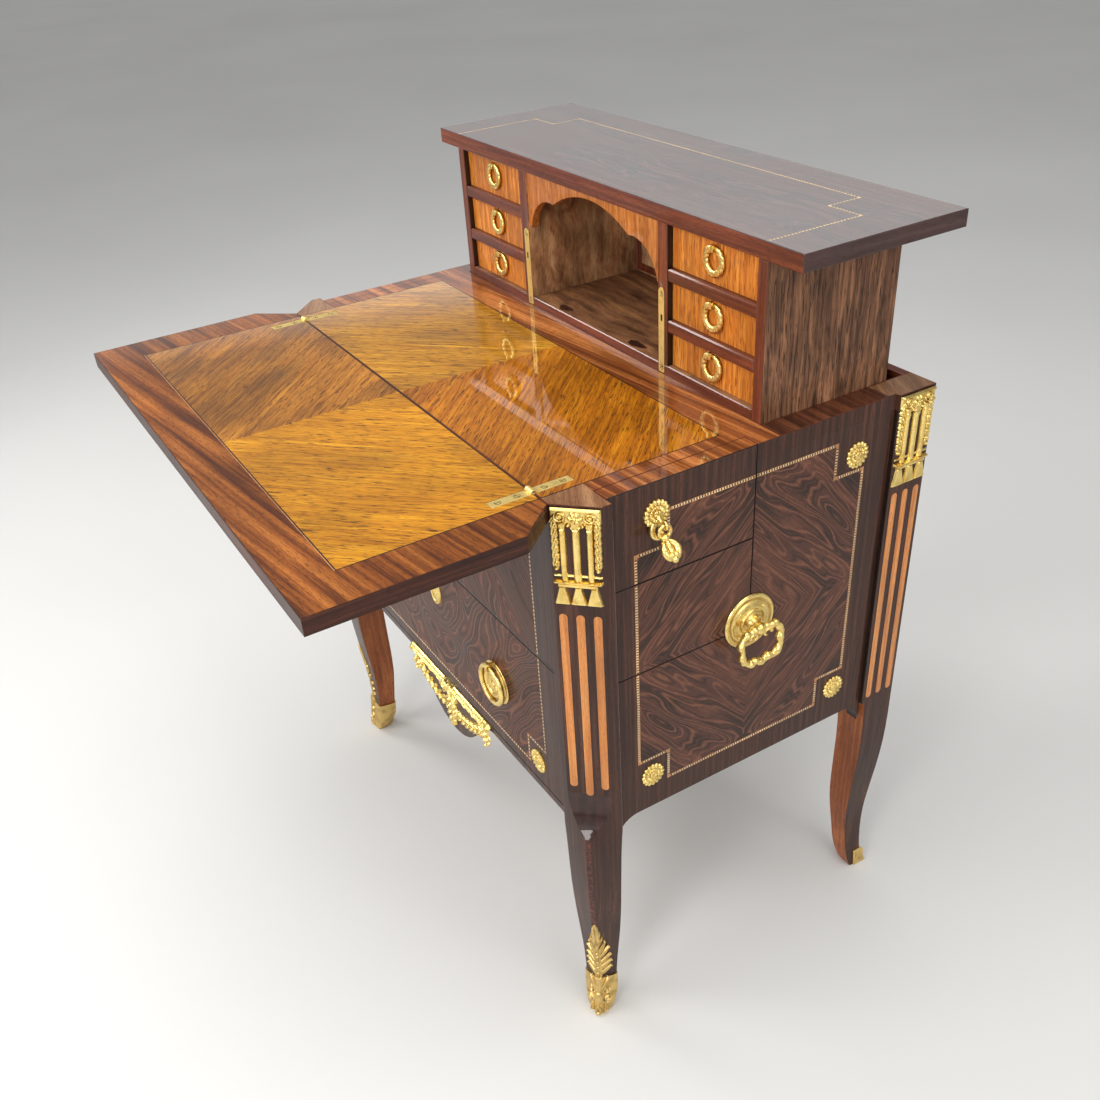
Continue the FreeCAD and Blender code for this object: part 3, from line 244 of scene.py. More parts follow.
def wood(name, colours, along="z", turn=(0, 0, 0), centre=None, figure=(9, 160, 3.0),
         pores=(0.8, 10, 0.5, 0.58), clouds=60, cloudy=(0.74, 1.18), gloss=0.08, coat=0.6, lines=0.0,
         plain=(0.15, 0.75), contrast=1.0):
    """Polished wood: figure in the given dark, middle and light colours, fibres, dark pores and cloudy tone.
    With a number of lines, the figure is drawn as nested contour lines."""
    dark, middle, light, pore_colour = colours
    across, length, drift = figure
    pore_across, pore_length, pore_share, pore_start = pores
    material, tree, shader = new_material(name)
    space = grain_space(tree, turn, centre)
    wander = noise(tree, stretched(tree, space, along, across * 5, length * 0.8), 2.0)["Color"]
    shift = add(tree, "ShaderNodeVectorMath", {
        0: wander, 1: [drift] * 3, 2: stretched(tree, space, along, across, length)},
        operation="MULTIPLY_ADD")
    tone = noise(tree, shift.outputs[0], 1.5 if lines else 4.0, 0.6)["Fac"]
    fibres = noise(tree, stretched(tree, space, along, 1.6, 90), 3.0, 0.7)["Fac"]
    cloud = noise(tree, stretched(tree, space, along, clouds, clouds * 2.5), 2.0)["Fac"]
    streaks = [(0.5 - 0.2 / contrast, dark), (0.5 + 0.2 / contrast, light), (0.5, middle)]
    stops = streaks
    if lines:
        tone = reckon(tree, "PINGPONG", reckon(tree, "MULTIPLY", tone, lines), 1.0)
        stops = [(0.0, light), (1.0, middle), (0.10, middle), (0.34, middle), (0.42, dark), (0.52, middle),
                 (0.66, light), (0.74, middle), (0.84, dark), (0.92, dark)]
    fibre = reckon(tree, "MULTIPLY_ADD", fibres, 0.16 * contrast, -0.08 * contrast)
    figured = ramp(tree, reckon(tree, "ADD", tone, fibre), stops)
    if lines:
        streak = noise(tree, stretched(tree, space, along, across * 0.2, length * 0.8), 4.0, 0.6)["Fac"]
        figured = mixed(tree, spread(tree, cloud, (0.36, 0.64), plain), figured, ramp(tree, streak, streaks))
    shaded = mixed(tree, 1.0, figured, spread(tree, cloud, (0.3, 0.7), cloudy), "MULTIPLY")
    dash = noise(tree, stretched(tree, space, along, pore_across, pore_length), 1.0)["Fac"]
    pore = spread(tree, dash, (pore_start, pore_start + 0.06), (0.0, pore_share))
    bump = add(tree, "ShaderNodeBump", {"Height": dash, "Strength": 0.10, "Distance": 0.0002})
    plug(tree, shader, {
        "Base Color": mixed(tree, pore, shaded, linear(pore_colour)), "Normal": bump.outputs[0],
        "Roughness": spread(tree, cloud, (0.3, 0.7), (0.40, 0.55)), "Specular IOR Level": 0.15,
        "Coat Weight": coat, "Coat Roughness": gloss})
    return material


def metal(name, colour, shade, roughness, matting_mm, matting):
    """Cast or rolled metal: clean tops, hollows darkened as painted shade, a fine uneven skin."""
    material, tree, shader = new_material(name)
    place = add(tree, "ShaderNodeTexCoord").outputs["Object"]
    skin = noise(tree, place, 3.0, scale=1000 / matting_mm)["Fac"]
    stain = noise(tree, place, 2.0, scale=1000 / 14)["Fac"]
    # Painted shade: low pointiness marks the hollows, which take the darker shade colour; 'worn' holds this
    # painted shade plus a little stain noise
    hollow = spread(tree, add(tree, "ShaderNodeNewGeometry").outputs["Pointiness"], (0.42, 0.53), (0.0, 1.0))
    worn = reckon(tree, "MULTIPLY_ADD", hollow, stain, 0.12)
    bump = add(tree, "ShaderNodeBump", {"Height": skin, "Strength": matting, "Distance": 0.0003})
    plug(tree, shader, {
        "Base Color": ramp(tree, worn, ((0.15, shade), (0.6, colour))), "Normal": bump.outputs[0],
        "Roughness": spread(tree, skin, (0.3, 0.7), roughness), "Metallic": 1.0})
    return material


FINISHES = {}


def make_finishes(colours):
    """All materials of the desk, by the name that the pieces use."""
    rose = (colours.rosewood_dark, "#502f22", colours.rosewood_light, "#1d110d")
    plain_rose = ("#2c1a13", "#3f251b", "#573526", "#1d110d")
    ribbon = (colours.mahogany_dark, "#86481f", colours.mahogany_light, "#3a1c0e")
    tan = ("#a0541c", "#c07126", colours.drawer_light, "#6a3612")

    def lay(key, name, tones, axis="z", **settings):
        FINISHES[key] = wood(name, tones, axis, **settings)

    # Rosewood veneer under shellac: dark purplish ground with thin reddish contour lines, mirror-like polish
    lay("rosewood_side", "rosewood_quartered_side", rose, "y", turn=(45, 0, 0),
        centre=(0, UPPER_HIGH.y, LOWER_LOW.z + 8), figure=(40, 300, 1.5), lines=14.0, clouds=40,
        plain=(0.0, 0.55), gloss=0.05, coat=0.35)
    lay("rosewood_front", "rosewood_quartered_front", rose, turn=(0, 45, 0), centre=(0, 0, 520),
        figure=(90, 240, 0.8), lines=22.0, clouds=45, plain=(0.0, 0.4), gloss=0.05, coat=0.16)
    # The same veneer laid straight as border: fine even streaks up the panel
    lay("rosewood_border", "rosewood_straight", plain_rose, figure=(5, 220, 1.0), gloss=0.05, coat=0.3)
    # Rosewood top of the box, long grain under a thick polish that mirrors the room
    lay("rosewood_top", "rosewood_polished_top", ("#281813", "#472c25", "#5f4035", "#1f120e"), "x",
        figure=(36, 300, 1.2), lines=9.0, gloss=0.05, coat=1.0)
    # Old rosewood boards of the box sides, unpolished and streaky
    lay("rosewood_rough", "rosewood_unpolished", ("#3b271e", "#745039", "#a17151", "#20130e"),
        figure=(6, 110, 1.4), pores=(1.1, 16, 0.75, 0.57), clouds=24, cloudy=(0.6, 1.22), gloss=0.4, coat=0.1)
    # Golden veneer, quartered; each quarter takes the light in its own way because the grain turns
    for name, dark, middle, light, dusk in (("front_left", "#7c4814", "#a0651c", "#b67a28", 0.54),
                                            ("front_right", "#a2660e", "#ba7a10", "#cc901c", 0.80),
                                            ("rear_left", "#8d5914", "#ae761a", "#c48e28", 0.78),
                                            ("rear_right", "#7e4408", "#a25e0a", "#bb7812", 0.76)):
        lay("golden_" + name, "golden_veneer_" + name, (dark, middle, light, "#4a290c"), "x", turn=(0, 0, 45),
            centre=(0, HINGE_Y, 0), figure=(4, 110, 1.6), pores=(0.9, 14, 0.95, 0.585), clouds=48,
            cloudy=(dusk - 0.04, 1.2), gloss=0.03, coat=1.0, contrast=1.1)
    # Ribbon mahogany: light and dark stripes that drift across the bands
    lay("mahogany_band", "mahogany_ribbon", ribbon, "x", turn=(0, 0, -6), figure=(10, 420, 0.8),
        pores=(0.8, 8, 0.5, 0.58), gloss=0.04, contrast=1.6)
    lay("mahogany_leaf", "mahogany_ribbon_leaf", ("#4c240d", "#7d4315", "#a05f26", "#32170c"), "x",
        turn=(0, 0, -8), figure=(9, 420, 0.8), pores=(0.8, 8, 0.6, 0.57), gloss=0.04, coat=0.45, contrast=1.4)
    # Darker crossbanding beside the box, striped from the box outwards
    lay("mahogany_cross", "mahogany_dark_crossband", ("#371a10", "#5c3220", "#77452c", "#24100a"), "x",
        figure=(7, 300, 0.6), pores=(0.8, 8, 0.5, 0.58), gloss=0.04, contrast=1.5)
    # Brown corner pieces of the top, over the posts, with a painted greyish sheen for how their turned grain
    # takes the light
    lay("corner", "walnut_corner", ("#6a452c", "#875f40", "#a27a55", "#442c20"), "x", turn=(0, 0, 28),
        figure=(9, 160, 1.0), gloss=0.05, coat=0.4)
    # Dark edges of leaf and box top: mahogany stained nearly black-brown, long grain on each edge
    for axis in "xy":
        lay("edge_" + axis, "stained_mahogany_edge_" + axis, ("#29140e", "#412217", "#5a3221", "#1c0d08"),
            axis, figure=(5, 220, 1.0), gloss=0.10, coat=0.2)
    # End edges of the box top: even purplish brown with hardly any streak
    lay("box_end", "rosewood_end_edge", ("#3d2b28", "#483533", "#54403c", "#2c1c19"), "y",
        figure=(5, 220, 1.0), gloss=0.12, coat=0.2, contrast=0.7)
    # Solid mahogany of the edges and of the box frame, dark red
    for way, axis in (("", "x"), ("_upright", "z")):
        lay("mahogany" + way, "mahogany_solid" + way, ("#482012", "#652f1c", "#804126", "#2c130a"), axis,
            figure=(6, 180, 1.0))
    # Straight-grained tan veneer of the small fronts, and on the arch a shade browner
    for key, name, tones in (("tan_veneer", "tan_straight_veneer", tan), (
            "arch_veneer", "tan_arch_veneer", ("#92501f", "#ae682d", "#c38040", "#6a3612"))):
        lay(key, name, tones, figure=(5, 120, 1.2), pores=(0.9, 14, 0.75, 0.57), gloss=0.10, coat=0.4)
    # Old oiled lining boards, blotched brown
    lay("lining", "old_oak_lining", ("#40291a", "#80563a", "#a8784a", "#28170e"), "x",
        figure=(14, 140, 2.2), clouds=30, gloss=0.3, coat=0.15)
    # The same wood in the pigeonhole, painted lighter to make up for the shade in there
    lay("pigeonhole", "oak_lining_painted_lighter", ("#784c34", "#a87852", "#c79c70", "#3c2416"),
        figure=(13, 60, 2.4), clouds=24, cloudy=(0.45, 1.25), gloss=0.3, coat=0.15)
    # Plain oak boards of the backs, straight-grained and only oiled
    lay("backboard", "oak_backboard", ("#52361f", "#6e4b2c", "#875f3a", "#382414"), "x",
        figure=(6, 240, 1.3), pores=(1.0, 14, 0.6, 0.6), gloss=0.45, coat=0.05)
    # Clean oak of the drawers, waxed inside; the grain follows each board
    for key, axis in (("drawer_lining", "x"), ("drawer_side", "y")):
        lay(key, "oak_" + key, ("#7c5a34", "#96703f", "#ac8650", "#4e361d"), axis, figure=(9, 200, 1.4),
            gloss=0.4, coat=0.1)
    # The posts' rear edges, pale as a painted highlight
    lay("edge_highlight", "rosewood_painted_edge_highlight", ("#6e5a50", "#84716a", "#9a8a82", "#4a3a32"), figure=(4, 90, 1.0))
    # Reddish brown wood of the legs' inner faces
    lay("leg_red", "stained_beech", ("#713a1d", "#92502a", "#a96738", "#3d1d0e"), figure=(7, 200, 1.2),
        coat=0.35)
    # Polished rosewood in the hollow under each cant, darkened as painted shade for the dark it mirrors
    # there, and the leg's reddish cross-grained ridge
    lay("tongue", "rosewood_hollow_polished", ("#27140f", "#361d17", "#48281f", "#190c09"),
        figure=(8, 120, 1.2), gloss=0.06, coat=0.6)
    lay("ridge", "rosewood_cross_ridge", ("#2c1612", "#4a2a23", "#683c32", "#1e0e0b"), "x",
        figure=(3, 60, 1.0), gloss=0.10, coat=0.3, contrast=1.3)
    # Stringing and flutes: pale boxwood, brown tulipwood, black-stained pear and orange-tan fruitwood. The
    # black pear is also laid where there is only shade, as painted shade
    for key, name, tones in (("boxwood", "boxwood", ("#d2a870", "#e4c492", "#efd6ac", "#a07a4c")),
                             ("tulipwood", "tulipwood_string", ("#93603c", "#b07c50", "#c4935f", "#6e4428")),
                             ("ebony_and_painted_shade", "black_pear_and_painted_shade", ("#150d0a", "#1f130e", "#2a1a13", "#0c0706"))):
        lay(key, name, tones, figure=(3, 60, 1.0))
    lay("flute", "orange_fruitwood", ("#a86230", "#c27a3c", "#d48f4e", "#84491f"), figure=(5, 160, 1.2),
        pores=(0.8, 7, 0.4, 0.58))
    # Fire-gilt bronze: warm yellow, bright on the tops, brown in the hollows as painted shade, and matted
    FINISHES["gilt"] = metal("gilt_bronze_cast", colours.gilt, "#b08a3a", (0.20, 0.40), 0.9, 0.22)
    # The shoes' gilding, dulled by the floor, with the same painted shade in its hollows
    FINISHES["gilt_old"] = metal("gilt_bronze_dulled", "#e2c27c", "#8c6a2c", (0.28, 0.46), 0.9, 0.22)
    # Rolled brass, rubbed to a satin; a dark seat under each screw head as painted shade in its slot and
    # round it; bright steel on the lift. Each metal's hollows take painted shade.
    FINISHES["brass"] = metal("rolled_brass", colours.brass, "#caa755", (0.42, 0.58), 1.6, 0.06)
    FINISHES["screw_seat_shade"] = metal("painted_shade_screw_seat", "#5a544a", "#24211d", (0.35, 0.5), 1.2, 0.08)
    FINISHES["steel"] = metal("drawn_steel", "#b4b4b2", "#6c6a66", (0.24, 0.40), 1.2, 0.08)


def turn_steps(count):
    """The angles of a full turn in even steps."""
    return [2 * math.pi * k / count for k in range(count)]


class Shape:
    """Points and faces of one piece while it is made, in millimetres of the shared frame."""

    def __init__(self):
        self.points, self.faces, self.finish_of, self.finish = [], [], [], 0

    def put(self, points, faces):
        """Add points and the faces between them."""
        start = len(self.points)
        self.points.extend(points)
        for face in faces:
            self.faces.append([start + i for i in face])
            self.finish_of.append(self.finish)

    def plate(self, outline, place, low, high):
        """A flat outline thickened from one depth to another."""
        count = len(outline)
        points = [place(u, v, w) for w in (low, high) for u, v in outline]
        faces = [list(range(count))[::-1], list(range(count, 2 * count))]
        faces += [[i, (i + 1) % count, count + (i + 1) % count, count + i] for i in range(count)]
        self.put(points, faces)

    def rows(self, rows, round_row=True, round_all=False, caps=False):
        """A skin over rows of points with the same number each."""
        count, width = len(rows), len(rows[0])
        faces = []
        for i in range(count if round_all else count - 1):
            for j in range(width if round_row else width - 1):
                a, b = i * width + j, i * width + (j + 1) % width
                c, d = (i + 1) % count * width + (j + 1) % width, (i + 1) % count * width + j
                faces.append([a, b, c, d])
        if caps:
            faces += [list(range(width))[::-1], list(range((count - 1) * width, count * width))]
        self.put([p for row in rows for p in row], faces)

    def turned(self, profile, place, steps=32):
        """A turned form: the profile's radius and depth round an axis of its own."""
        self.rows([[place(r * math.cos(t), r * math.sin(t), w) for t in turn_steps(steps)]
                   for r, w in profile], caps=True)

    def tube(self, path, radius, steps=10, closed=False, flat=1.0, normal=None):
        """A rod along a path. The radius is a number, or a function of the share of the length and the angle;
        it is measured from the normal, and flattened across it."""
        points = [Vector(p) for p in path]
        count = len(points)
        rows = []
        for i, point in enumerate(points):
            before = points[i - 1] if (i or closed) else point
            after = points[(i + 1) % count] if (i < count - 1 or closed) else point
            along = (after - before).normalized()
            if normal is None:
                normal = along.orthogonal().normalized()
            normal = (normal - along * normal.dot(along)).normalized()
            side = along.cross(normal)
            row = []
            for angle in turn_steps(steps):
                size = radius(i / (count if closed else count - 1), angle) if callable(radius) else radius
                row.append(point + normal * math.cos(angle) * size + side * math.sin(angle) * size * flat)
            rows.append(row)
        self.rows(rows, round_all=closed, caps=not closed)

    def relief(self, height, across, up, step, place, sunk=0.4):
        """A cast ornament: a height over a ground, kept where it stands above it."""
        nu = max(2, round((across[1] - across[0]) / step))
        nv = max(2, round((up[1] - up[0]) / step))
        u, v = np.meshgrid(np.linspace(*across, nu + 1), np.linspace(*up, nv + 1), indexing="ij")
        h = height(u, v)
        cells = np.maximum.reduce([h[:-1, :-1], h[1:, :-1], h[1:, 1:], h[:-1, 1:]]) > 0
        number, points, faces = {}, [], []
        for i, j in zip(*np.nonzero(cells)):
            face = []
            for a, b in ((i, j), (i + 1, j), (i + 1, j + 1), (i, j + 1)):
                if (a, b) not in number:
                    number[a, b] = len(points)
                    depth = h[a, b] if h[a, b] > 0 else -sunk
                    points.append(place(float(u[a, b]), float(v[a, b]), float(depth)))
                face.append(number[a, b])
            faces.append(face)
        self.put(points, faces)

    def daisy(self, place, radius, petals, rise):
        """A rosette: two rings of petals round a seeded button, its rim let into the ground."""
        def petal(q, angle):
            """Reach and height at a share of the radius."""
            ridge = abs(math.cos(petals * angle / 2))
            if q < 0.30:
                seeds = math.cos(6 * angle) * math.sin(math.pi * q / 0.30)
                return q, 1.0 - 0.22 * (q / 0.30) ** 2 + 0.08 * seeds
            if q < 0.59:
                share = (q - 0.30) / 0.29
                return q, 0.56 + 0.34 * (1 - ridge) * math.sin(math.pi * share) + 0.06 * share
            share = (q - 0.59) / 0.41
            height = 0.34 + (0.10 + 0.34 * ridge) * math.sin(math.pi * (0.15 + 0.8 * share))
            return q * (1 - 0.17 * share * (1 - ridge ** 0.7)), height

        def ring(q, depth=None):
            row = []
            for angle in turn_steps(petals * 8):
                reach, height = petal(q, angle)
                row.append(place(radius * reach * math.cos(angle), radius * reach * math.sin(angle),
                                 rise * height if depth is None else depth))
            return row
        shares = (0.02, 0.10, 0.18, 0.25, 0.29, 0.31, 0.38, 0.46, 0.54, 0.58, 0.60, 0.68, 0.78, 0.87, 0.95,
                  1.0)
        self.rows([ring(q) for q in shares] + [ring(1.0, SEAT)], caps=True)

    def ball(self, centre, radius, steps=12):
        """A small round knop."""
        centre = Vector(centre)
        rows = []
        for i in range(1, steps // 2):
            tilt = math.pi * i / (steps // 2)
            rows.append([centre + Vector((math.sin(tilt) * math.cos(a), math.sin(tilt) * math.sin(a),
                                          math.cos(tilt))) * radius for a in turn_steps(steps)])
        self.rows(rows, caps=True)

    def screw(self, place, radius, angle):
        """A slotted screw head: two half discs with the slot between them, over a dark seat that paints the
        shade in the slot and round the head.
        """
        slot = math.asin(0.22)
        self.finish = 0
        for half in (0, math.pi):
            arc = [slot + (math.pi - 2 * slot) * k / 10 + half + angle for k in range(11)]
            self.plate([(radius * math.cos(t), radius * math.sin(t)) for t in arc], place, -0.8, 0.3)
        # Dark seat: painted shade in the slot and round the head
        self.finish = 1
        rim = radius * 1.2
        self.plate([(rim * math.cos(t), rim * math.sin(t)) for t in turn_steps(20)], place, -0.9, 0.08)

    def inlay(self, name, body, finishes, slot):
        """The finished inlay, flat on its faces."""
        return self.piece(name, body, finishes, slot, smooth=False)

    def gilt(self, name, body, node=None, edge=60, finishes=("gilt",)):
        """The finished mount in gilt brass, standing in for a node."""
        return self.piece(name, body, finishes, "gilt_brass", edge=edge, replaces=(node,) if node else ())

    def piece(self, name, body, finishes, slot, smooth=True, edge=40, replaces=()):
        """The finished object, on its body, with its finishes."""
        mesh = bpy.data.meshes.new(name)
        mesh.from_pydata([Vector(p) * MM for p in self.points], [], self.faces)
        mesh.polygons.foreach_set("material_index", self.finish_of)
        return settle(name, mesh, body, finishes, slot, smooth, edge, replaces)


def settle(name, mesh, body, finishes, slot, smooth=True, edge=40, replaces=()):
    """Clean a mesh, give it its finishes and make it an object that rides on its body."""
    work = bmesh.new()
    work.from_mesh(mesh)
    bmesh.ops.remove_doubles(work, verts=work.verts, dist=1e-6)
    bmesh.ops.recalc_face_normals(work, faces=work.faces)
    work.to_mesh(mesh)
    work.free()
    if smooth:
        mesh.shade_smooth()
        mesh.set_sharp_from_angle(angle=math.radians(edge))
    for finish in finishes:
        mesh.materials.append(FINISHES[finish])
    piece = bpy.data.objects.new(name, mesh)
    bpy.context.scene.collection.objects.link(piece)
    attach(piece, body)
    if replaces:
        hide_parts(*replaces)
    return piece


def softened(node, finishes, pick=None, width=None, keep=None, worn=None, steps=2, ridge=None):
    """A board's CAD shape with its sharp edges worn round, standing in for the node. Only edges whose ends
    pass the worn test are rounded, only faces that pass the keep test stay, and edges that pass the ridge
    test get a flat chamfer first."""
    sizes = bpy.context.scene.desk_sizes
    ridge_width = 0.0045
    mesh = NODES[node].data.copy()
    mesh.materials.clear()
    work = bmesh.new()
    work.from_mesh(mesh)
    bmesh.ops.remove_doubles(work, verts=work.verts, dist=2e-6)
    bmesh.ops.dissolve_limit(work, angle_limit=math.radians(0.6), verts=work.verts, edges=work.edges)
    if ridge:
        chosen = [e for e in work.edges if len(e.link_faces) == 2 and ridge(e)]
        bmesh.ops.bevel(work, geom=chosen, offset=ridge_width, segments=1, affect="EDGES",
                        clamp_overlap=False)
    edges = [e for e in work.edges if len(e.link_faces) == 2 and e.calc_face_angle() > math.radians(28)
             and (worn is None or all(worn(v.co * 1000) for v in e.verts))]
    bmesh.ops.bevel(work, geom=edges, offset=width or sizes.edge_round, segments=steps, profile=0.5,
                    affect="EDGES", clamp_overlap=True)
    if keep:
        lost = [face for face in work.faces if not keep(face.calc_center_median() * 1000)]
        bmesh.ops.delete(work, geom=lost, context="FACES")
    for face in work.faces:
        if pick:
            face.material_index = pick(face.calc_center_median() * 1000, face.normal)
    work.to_mesh(mesh)
    work.free()
    return settle("wood_" + node, mesh, BODY_OF[node], finishes, SLOT_OF[node], True, 20, (node,))


def dress(node, finish):
    """A CAD node that keeps its shape and gets a finish."""
    data = NODES[node].data
    data.materials.clear()
    data.materials.append(FINISHES[finish])


def dome(u, v, centre, radius, rise):
    """A round swelling."""
    return rise * (1 - ((u - centre[0]) ** 2 + (v - centre[1]) ** 2) / radius ** 2)


def block(u, v, across, up, rise, edge=0.8):
    """A raised bar with sloping edges."""
    inset = np.minimum.reduce([u - across[0], across[1] - u, v - up[0], up[1] - v])
    return np.where(inset >= 0, rise * np.clip(inset / edge, 0.3, 1), -1.0)


def wedge(u, v, middle, low, high, low_half, high_half, rise):
    """A raised tapering block with a flat face."""
    share = np.clip((v - low) / (high - low), 0, 1)
    half = low_half + (high_half - low_half) * share
    inset = np.minimum.reduce([half - np.abs(u - middle), v - low, high - v])
    return np.where(inset >= 0, rise * np.clip(inset / 0.9, 0.3, 1), -1.0)


def leaf(u, v, base, tip, width, rise, lobes=0):
    """A pointed leaf with a groove along its middle, and lobes along its edge."""
    du, dv = tip[0] - base[0], tip[1] - base[1]
    length = math.hypot(du, dv)
    share = ((u - base[0]) * du + (v - base[1]) * dv) / length ** 2
    off = np.abs((u - base[0]) * dv - (v - base[1]) * du) / length
    inside = (share > 0) & (share < 1)
    share = np.clip(share, 0, 1)
    half = width / 2 * np.sin(math.pi * share ** 0.8) ** 0.7 + 1e-6
    if lobes:
        half = half * (0.72 + 0.28 * np.abs(np.sin(math.pi * lobes * share)))
    body = rise * (0.4 + 0.6 * np.sqrt(np.clip(1 - (off / half) ** 2, 0, 1))) * (0.55 + 0.45 * share)
    groove = 1 - 0.4 * np.exp(-(off / (width * 0.09)) ** 2)
    return np.where(inside & (off < half), body * groove, -1.0)


def volute(u, v, centre, radius, turns, wire, rise, hand=1):
    """A wire wound into a spiral."""
    r = np.hypot(u - centre[0], v - centre[1])
    angle = np.arctan2(v - centre[1], hand * (u - centre[0]))
    near = np.full(np.shape(r), 1e9)
    for k in range(int(turns) + 2):
        wound = (angle + math.pi) / (2 * math.pi) + k
        off = np.abs(r - radius * (1 - wound / (turns + 0.4)))
        near = np.where(wound <= turns, np.minimum(near, off), near)
    return np.where(near < wire, rise * np.sqrt(np.clip(1 - (near / wire) ** 2, 0.05, 1)), -1.0)


def flower(u, v, centre, radius, petals, rise):
    """An open flower with a round middle."""
    r = np.hypot(u - centre[0], v - centre[1])
    angle = np.arctan2(v - centre[1], u - centre[0])
    ridge = np.abs(np.cos(petals * angle / 2))
    share = r / (radius * (0.72 + 0.28 * ridge))
    petal = rise * (0.45 + 0.4 * ridge * np.sin(math.pi * np.clip(share, 0, 1)) + 0.15 * (1 - share))
    return np.maximum(np.where(share < 1, petal, -1.0), dome(u, v, centre, radius * 0.34, rise * 1.1))


def carved(u, v, rows, *skins):
    """The upper skin of several ornaments. A row holds a form, its points and its sizes; a form off the
    middle line gets a twin on the other side."""
    heights = list(skins)
    for form, points, *sizes in rows:
        heights.append(form(u, v, *points, *sizes))
        if any(x for x, _ in points):
            heights.append(form(u, v, *[(-x, y) for x, y in points], *sizes))
    return np.maximum.reduce(heights)


def rounded(points, per=8, closed=False):
    """A smooth path through points."""
    points = [Vector(p) for p in points]
    count = len(points)
    path = []
    for i in range(count if closed else count - 1):
        a, b, c, d = (points[(i + k) % count] if closed else points[min(max(i + k, 0), count - 1)]
                      for k in (-1, 0, 1, 2))
        for k in range(per):
            t = k / per
            path.append(b + (c - a) * (t / 2) + (a - b * 2.5 + c * 2 - d * 0.5) * t * t
                        + (b * 1.5 - a * 0.5 - c * 1.5 + d * 0.5) * t * t * t)
    return path if closed else path + [points[-1]]


def set_at(base, centre):
    """A place on a face, measured from a point of it."""
    return lambda u, v, w: base(centre[0] + u, centre[1] + v, w)


def on_side(sign):
    """The outer face of a side: u back, v up."""
    return lambda u, v, w: Vector((sign * (SIDE_X + w), u, v))


def on_front(u, v, w):
    """The front: u to the right, v up."""
    return Vector((u, FRONT_Y - w, v))


def on_top(u, v, w):
    """The writing surface: u to the right, v back."""
    return Vector((u, v, WRITING_Z + w))


def on_cant(sign):
    """The canted face of a front post: u across it from the front to the side."""
    middle = CANT / 2

    def place(u, v, w):
        return Vector((sign * (POST_X - middle + (u + w) * math.sqrt(0.5)),
                       POST_Y + middle + (u - w) * math.sqrt(0.5), v))
    return place


def on_rear_post(sign):
    """The outer face of a rear post: u back from its middle, v up."""
    middle = extent("rear_posts")[1].y - 26.0
    return lambda u, v, w: Vector((sign * (REAR_POST_X + w), middle + u, v))


def clipped(outline, low, high):
    """An outline cut to the rectangle between two corners."""
    result = list(outline)
    for axis, limit, keep in ((0, low[0], 1), (0, high[0], -1), (1, low[1], 1), (1, high[1], -1)):
        points, result = result, []
        for here, after in zip(points, points[1:] + points[:1]):
            inside, next_inside = (keep * (p[axis] - limit) >= 0 for p in (here, after))
            if inside:
                result.append(here)
            if inside != next_inside:
                share = (limit - here[axis]) / (after[axis] - here[axis])
                result.append(tuple(a + (b - a) * share for a, b in zip(here, after)))
    return result


def notched(low, high, notch):
    """A rectangle with re-entrant square corners, from its lower left corner round."""
    (u0, v0), (u1, v1), n = low, high, notch
    return [(u0 + n, v0), (u1 - n, v0), (u1 - n, v0 + n), (u1, v0 + n), (u1, v1 - n), (u1 - n, v1 - n),
            (u1 - n, v1), (u0 + n, v1), (u0 + n, v1 - n), (u0, v1 - n), (u0, v0 + n), (u0 + n, v0 + n)]


def ladder(shape, outline, place, region, width, pitch, low, high):
    """Stringing along an outline inside a region: a band with dark and pale squares in turn let into it."""
    low_corner, high_corner = [c + 1e-6 for c in region[0]], [c - 1e-6 for c in region[1]]
    for start, end in zip(outline, outline[1:] + outline[:1]):
        a, b = Vector(start), Vector(end)
        along = (b - a).normalized()
        side = Vector((-along.y, along.x)) * width / 2
        a, b = a - along * width / 2, b - along * width / 2
        band = clipped([tuple(p) for p in (a - side, b - side, b + side, a + side)], *region)
        if len(band) < 3:
            continue
        shape.finish = 0
        shape.plate(band, place, low, high)
        count = int(((b - a).length - 2 * width) / pitch * 2)
        for k in range(count):
            shape.finish = 1 + k % 2
            middle = a + along * (1.5 * width + (k + 0.5) * pitch / 2)
            half, lift = along * pitch * 0.25, side * 0.66
            square = [middle - half - lift, middle + half - lift, middle + half + lift, middle - half + lift]
            if all(low_corner[i] < p[i] < high_corner[i] for p in square for i in (0, 1)):
                shape.plate([tuple(p) for p in square], place, high, high + 0.03)


def inlaid(tag, body, finish, outline, region, place, string, flip=False):
    """A rosewood field inside a region, and the ladder stringing round it with its width and pitch."""
    field = clipped(outline, *region)
    shape = Shape()
    shape.plate(field[::-1] if flip else field, place, SEAT, VENEER)
    shape.inlay("rosewood_field_" + tag, body, (finish,), "rosewood")
    strings = Shape()
    ladder(strings, outline, place, region, *string, SEAT, VENEER + 0.04)
    strings.inlay("ladder_" + tag, body, ("tulipwood", "ebony_and_painted_shade", "boxwood"), "golden_veneer")


